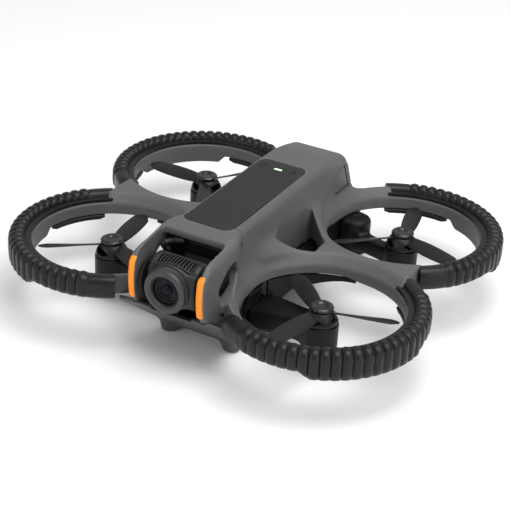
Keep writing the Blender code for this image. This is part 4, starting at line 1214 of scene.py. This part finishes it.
BAFFLE_BLACK = moulding(
    "baffle_black", (0.003, 0.003, 0.003), (0.006, 0.006, 0.006),
    grain_size=0.6, roughness=0.3, spread=0.08, bump=0.1, wear=0.1, dust=0.0, Specular_IOR_Level=0.3,
)
BAFFLE = [(0, 8.6), (6.9, 8.6), (7.0, 10.4), (7.2, 10.9), (7.5, 11.0), (7.5, 7.6), (0, 7.6)]
baffle = turned("lens_baffle", BAFFLE, TILT, LENS_FORWARD, 96)
piece("lens_baffle", baffle, BAFFLE_BLACK, "camera")

LENS_GLASS = bpy.data.materials.new("coated_glass")
LENS_GLASS.use_nodes = True
glass = LENS_GLASS.node_tree
glass_shader = glass.nodes["Principled BSDF"]
coating = span(glass, noise(glass, 60.0, 1.0), 0.35, 0.65, 0.0, 1.0)
glass.links.new(
    colour_mix(glass, coating, (0.002, 0.002, 0.003, 1), (0.004, 0.005, 0.01, 1)),
    glass_shader.inputs["Base Color"],
)
glass.links.new(span(glass, noise(glass, 500.0, 2.0), 0.3, 0.7, 0.03, 0.07), glass_shader.inputs["Roughness"])
glass_shader.inputs["Specular IOR Level"].default_value = 0.12
LENS = [
    (0, 10.5), (0.9, 10.46), (1.8, 10.3), (2.5, 10.0), (2.8, 9.7), (2.9, 9.55), (3.9, 9.75), (4.0, 9.85),
    (4.2, 9.85), (4.3, 9.75), (5.4, 9.95), (5.5, 10.05), (5.7, 10.05), (5.8, 9.95), (6.6, 10.1), (6.75, 9.9),
    (6.75, 8.7), (0, 8.7),
]
front_lens = turned("front_lens", LENS, TILT, LENS_FORWARD, 64)
piece("front_lens", front_lens, LENS_GLASS, "camera", ["lens_glass"])

MOTOR_DISC = [
    (0, 1.1), (2.0, 1.1), (2.3, 0.9), (4.0, 0.9), (4.2, 1.15), (8.6, 1.15), (8.9, 0.9), (9.4, 0.9),
    (9.7, 0.6), (9.9, 0.3), (9.9, -0.5), (0, -0.5),
]
disc = turned("disc", MOTOR_DISC, (-14.95, axis_y, axis_z), (-1, 0, 0), 72)
piece("tilt_motor_disc", disc, MOTOR_METAL, replaces=["tilt_motor"])

# The yoke: a back plate screwed into the cage, and a slim ear on each side that holds the pivots.
YOKE_START = (-18.2, -90.0, 32.0)
YOKE_STEP = 0.5
X, Y, Z = lattice(YOKE_START, (18.2, -61.0, 58.5), YOKE_STEP)
plate = rounded([np.abs(X) - 17.4, np.abs(Y + 62.7) - 0.8, np.abs(Z - 45.5) - 11.6], 0.6)
plate = carve(plate, rounded([np.abs(X) - 8.0, np.abs(Y + 62.7) - 4.0, np.abs(Z - 45.0) - 5.0], 0.5), 0.6)
ear_half = 4.0 + 3.0 * ramp(Y, -76.0, -64.0)
ear = np.maximum(np.abs(Z - axis_z) - ear_half, np.abs(Y + 71.5) - 9.5)
from_pivot = apart(Y - axis_y, Z - axis_z)
ear = merge(ear, from_pivot - 5.6, 3.0)
ear = trim(ear, np.abs(np.abs(X) - 16.9) - 0.6, 0.5)
pivot = trim(from_pivot - 3.2, np.abs(X - 15.9) - 1.5, 0.4)
yoke = merge(merge(plate, ear, 1.5), pivot, 0.3)
camera_yoke = skin("yoke", yoke, YOKE_START, YOKE_STEP)
piece("camera_yoke", camera_yoke, BLACK_PLASTIC, replaces=["gimbal_bracket"], crease=50)

# The camera's lead: a short ribbed rubber tube from the cage's roof down to the yoke, held at both ends.
CABLE_BLACK = moulding(
    "cable_rubber", (0.006, 0.006, 0.006), (0.009, 0.009, 0.009),
    grain_size=0.4, roughness=0.4, spread=0.1, bump=0.3, wear=0.2, dust=0.0,
)
LEAD_RADIUS = 1.5
LEAD_RIB = 0.24
LEAD_PITCH = 1.15
LEAD_AROUND = 14
route = [
    (-7.0, -65.4, 57.0),
    (-10.2, -68.4, 57.5),
    (-12.8, -70.6, 57.2),
    (-14.6, -70.6, 55.4),
    (-15.2, -68.6, 53.0),
    (-15.0, -66.2, 50.6),
]
spline = np.array(route)
path = []
for i in range(len(route) - 1):
    p0, p1, p2, p3 = (spline[min(max(i + k, 0), len(route) - 1)] for k in (-1, 0, 1, 2))
    square = 2 * p0 - 5 * p1 + 4 * p2 - p3
    cube = 3 * p1 - p0 - 3 * p2 + p3
    for t in np.arange(0, 1, 0.06):
        path.append(0.5 * (2 * p1 + (p2 - p0) * t + square * t ** 2 + cube * t ** 3))
rings = []
walked = 0.0
angles = np.arange(LEAD_AROUND) * math.tau / LEAD_AROUND
for i, point in enumerate(path):
    along = Vector(path[min(i + 1, len(path) - 1)] - path[max(i - 1, 0)]).normalized()
    walked += np.linalg.norm(path[i] - path[i - 1]) if i else 0.0
    radius = LEAD_RADIUS + LEAD_RIB * math.cos(walked * math.tau / LEAD_PITCH)
    across = along.orthogonal() if i == 0 else across - along * across.dot(along)
    across.normalize()
    upright = along.cross(across)
    rings.append([
        tuple(Vector(point) + (across * math.cos(a) + upright * math.sin(a)) * radius) for a in angles
    ])
lead = sweep("camera_lead", rings)
piece("camera_lead", lead, CABLE_BLACK, replaces=["camera_cable"], crease=60)

# ---------------------------------------------------------------- battery
# A grey cartridge slides into the tail. Its rear cap closes the shell, with a power button on the sloping
# face and a sprung latch button on each side.

BATTERY_START = (0.0, -9.0, 30.0)
BATTERY_STEP = 0.5
CAP_INSET = 0.8
X, Y, Z = lattice(BATTERY_START, (18.0, 82.0, 58.0), BATTERY_STEP)
rear_face = (Y - tail_y(Z) + CAP_INSET) * TAIL_SLOPE
case = rounded([X - 14.4, np.maximum(-8.0 - Y, rear_face), np.abs(Z - 43.9) - 12.9], 0.8)
ear = rounded([X - 16.9, np.maximum(60.0 - Y, rear_face), np.abs(Z - 47.95) - 7.3], 0.6)
case = merge(case, ear, 0.3)
battery_case = skin("battery_cartridge", case, BATTERY_START, BATTERY_STEP, both_sides=True)
hollows = [box("cell_space", (-12.9, -13.0, 32.5), (12.9, 48.0, 55.3))]
for sign in (1, -1):
    hollows.append(beside("latch_pocket", latch_outline(0.3), sign, 12.5))
POWER_Z = 49.0
power_centre = Vector((0, tail_y(POWER_Z) - CAP_INSET, POWER_Z))
power_normal = Vector((0, 1, TAIL_LEAN)).normalized()
hollows.append(turned("power_pocket", [(0, 3), (3.5, 3), (3.5, -2.2), (0, -2.2)], power_centre, power_normal))
battery_case = combined(battery_case, hollows)
piece("battery_cartridge", battery_case, SHELL_GREY, "battery", ["battery_case"], 50)

for name, sign in SIDES.items():
    button = softened(beside("latch", latch_outline(-0.05), sign, 14.1, 16.9), 1.1, 5)
    piece(f"{name}_latch_key", button, SHELL_GREY, f"{name}_latch", [f"{name}_latch_button"])

POWER_KEY = [(0, 0.35), (1.4, 0.4), (2.2, 0.55), (2.8, 0.55), (3.15, 0.2), (3.15, -1.2), (0, -1.2)]
power_key = turned("power_key", POWER_KEY, power_centre, power_normal, 48)
piece("power_key", power_key, BLACK_PLASTIC, "power_switch", ["power_button"])

# ---------------------------------------------------------------- inside
# The main board, the speed controllers, the battery connector and the cells stay as the frame holds them,
# each with its own finish: green solder mask with paler tracks, black nylon and foil-wrapped cells.

BOARD_GREEN = moulding(
    "solder_mask", (0.012, 0.07, 0.035), (0.03, 0.12, 0.06),
    grain_size=0.9, roughness=0.35, spread=0.1, bump=0.3, wear=0.1, dust=0.0,
)
CONNECTOR_BLACK = moulding(
    "connector_nylon", (0.014, 0.014, 0.014), (0.02, 0.02, 0.02),
    grain_size=0.5, roughness=0.45, spread=0.1, bump=0.3, wear=0.2, dust=0.0,
)
CELL_FOIL = moulding(
    "cell_foil", (0.4, 0.4, 0.42), (0.52, 0.52, 0.54),
    grain_size=2.0, roughness=0.3, spread=0.15, bump=0.4, wear=0.1, dust=0.0, Metallic=0.8,
)
finished("main_board", BOARD_GREEN)
finished("speed_controller_board", BOARD_GREEN)
finished("power_connector", CONNECTOR_BLACK)
finished("battery_cells", CELL_FOIL)
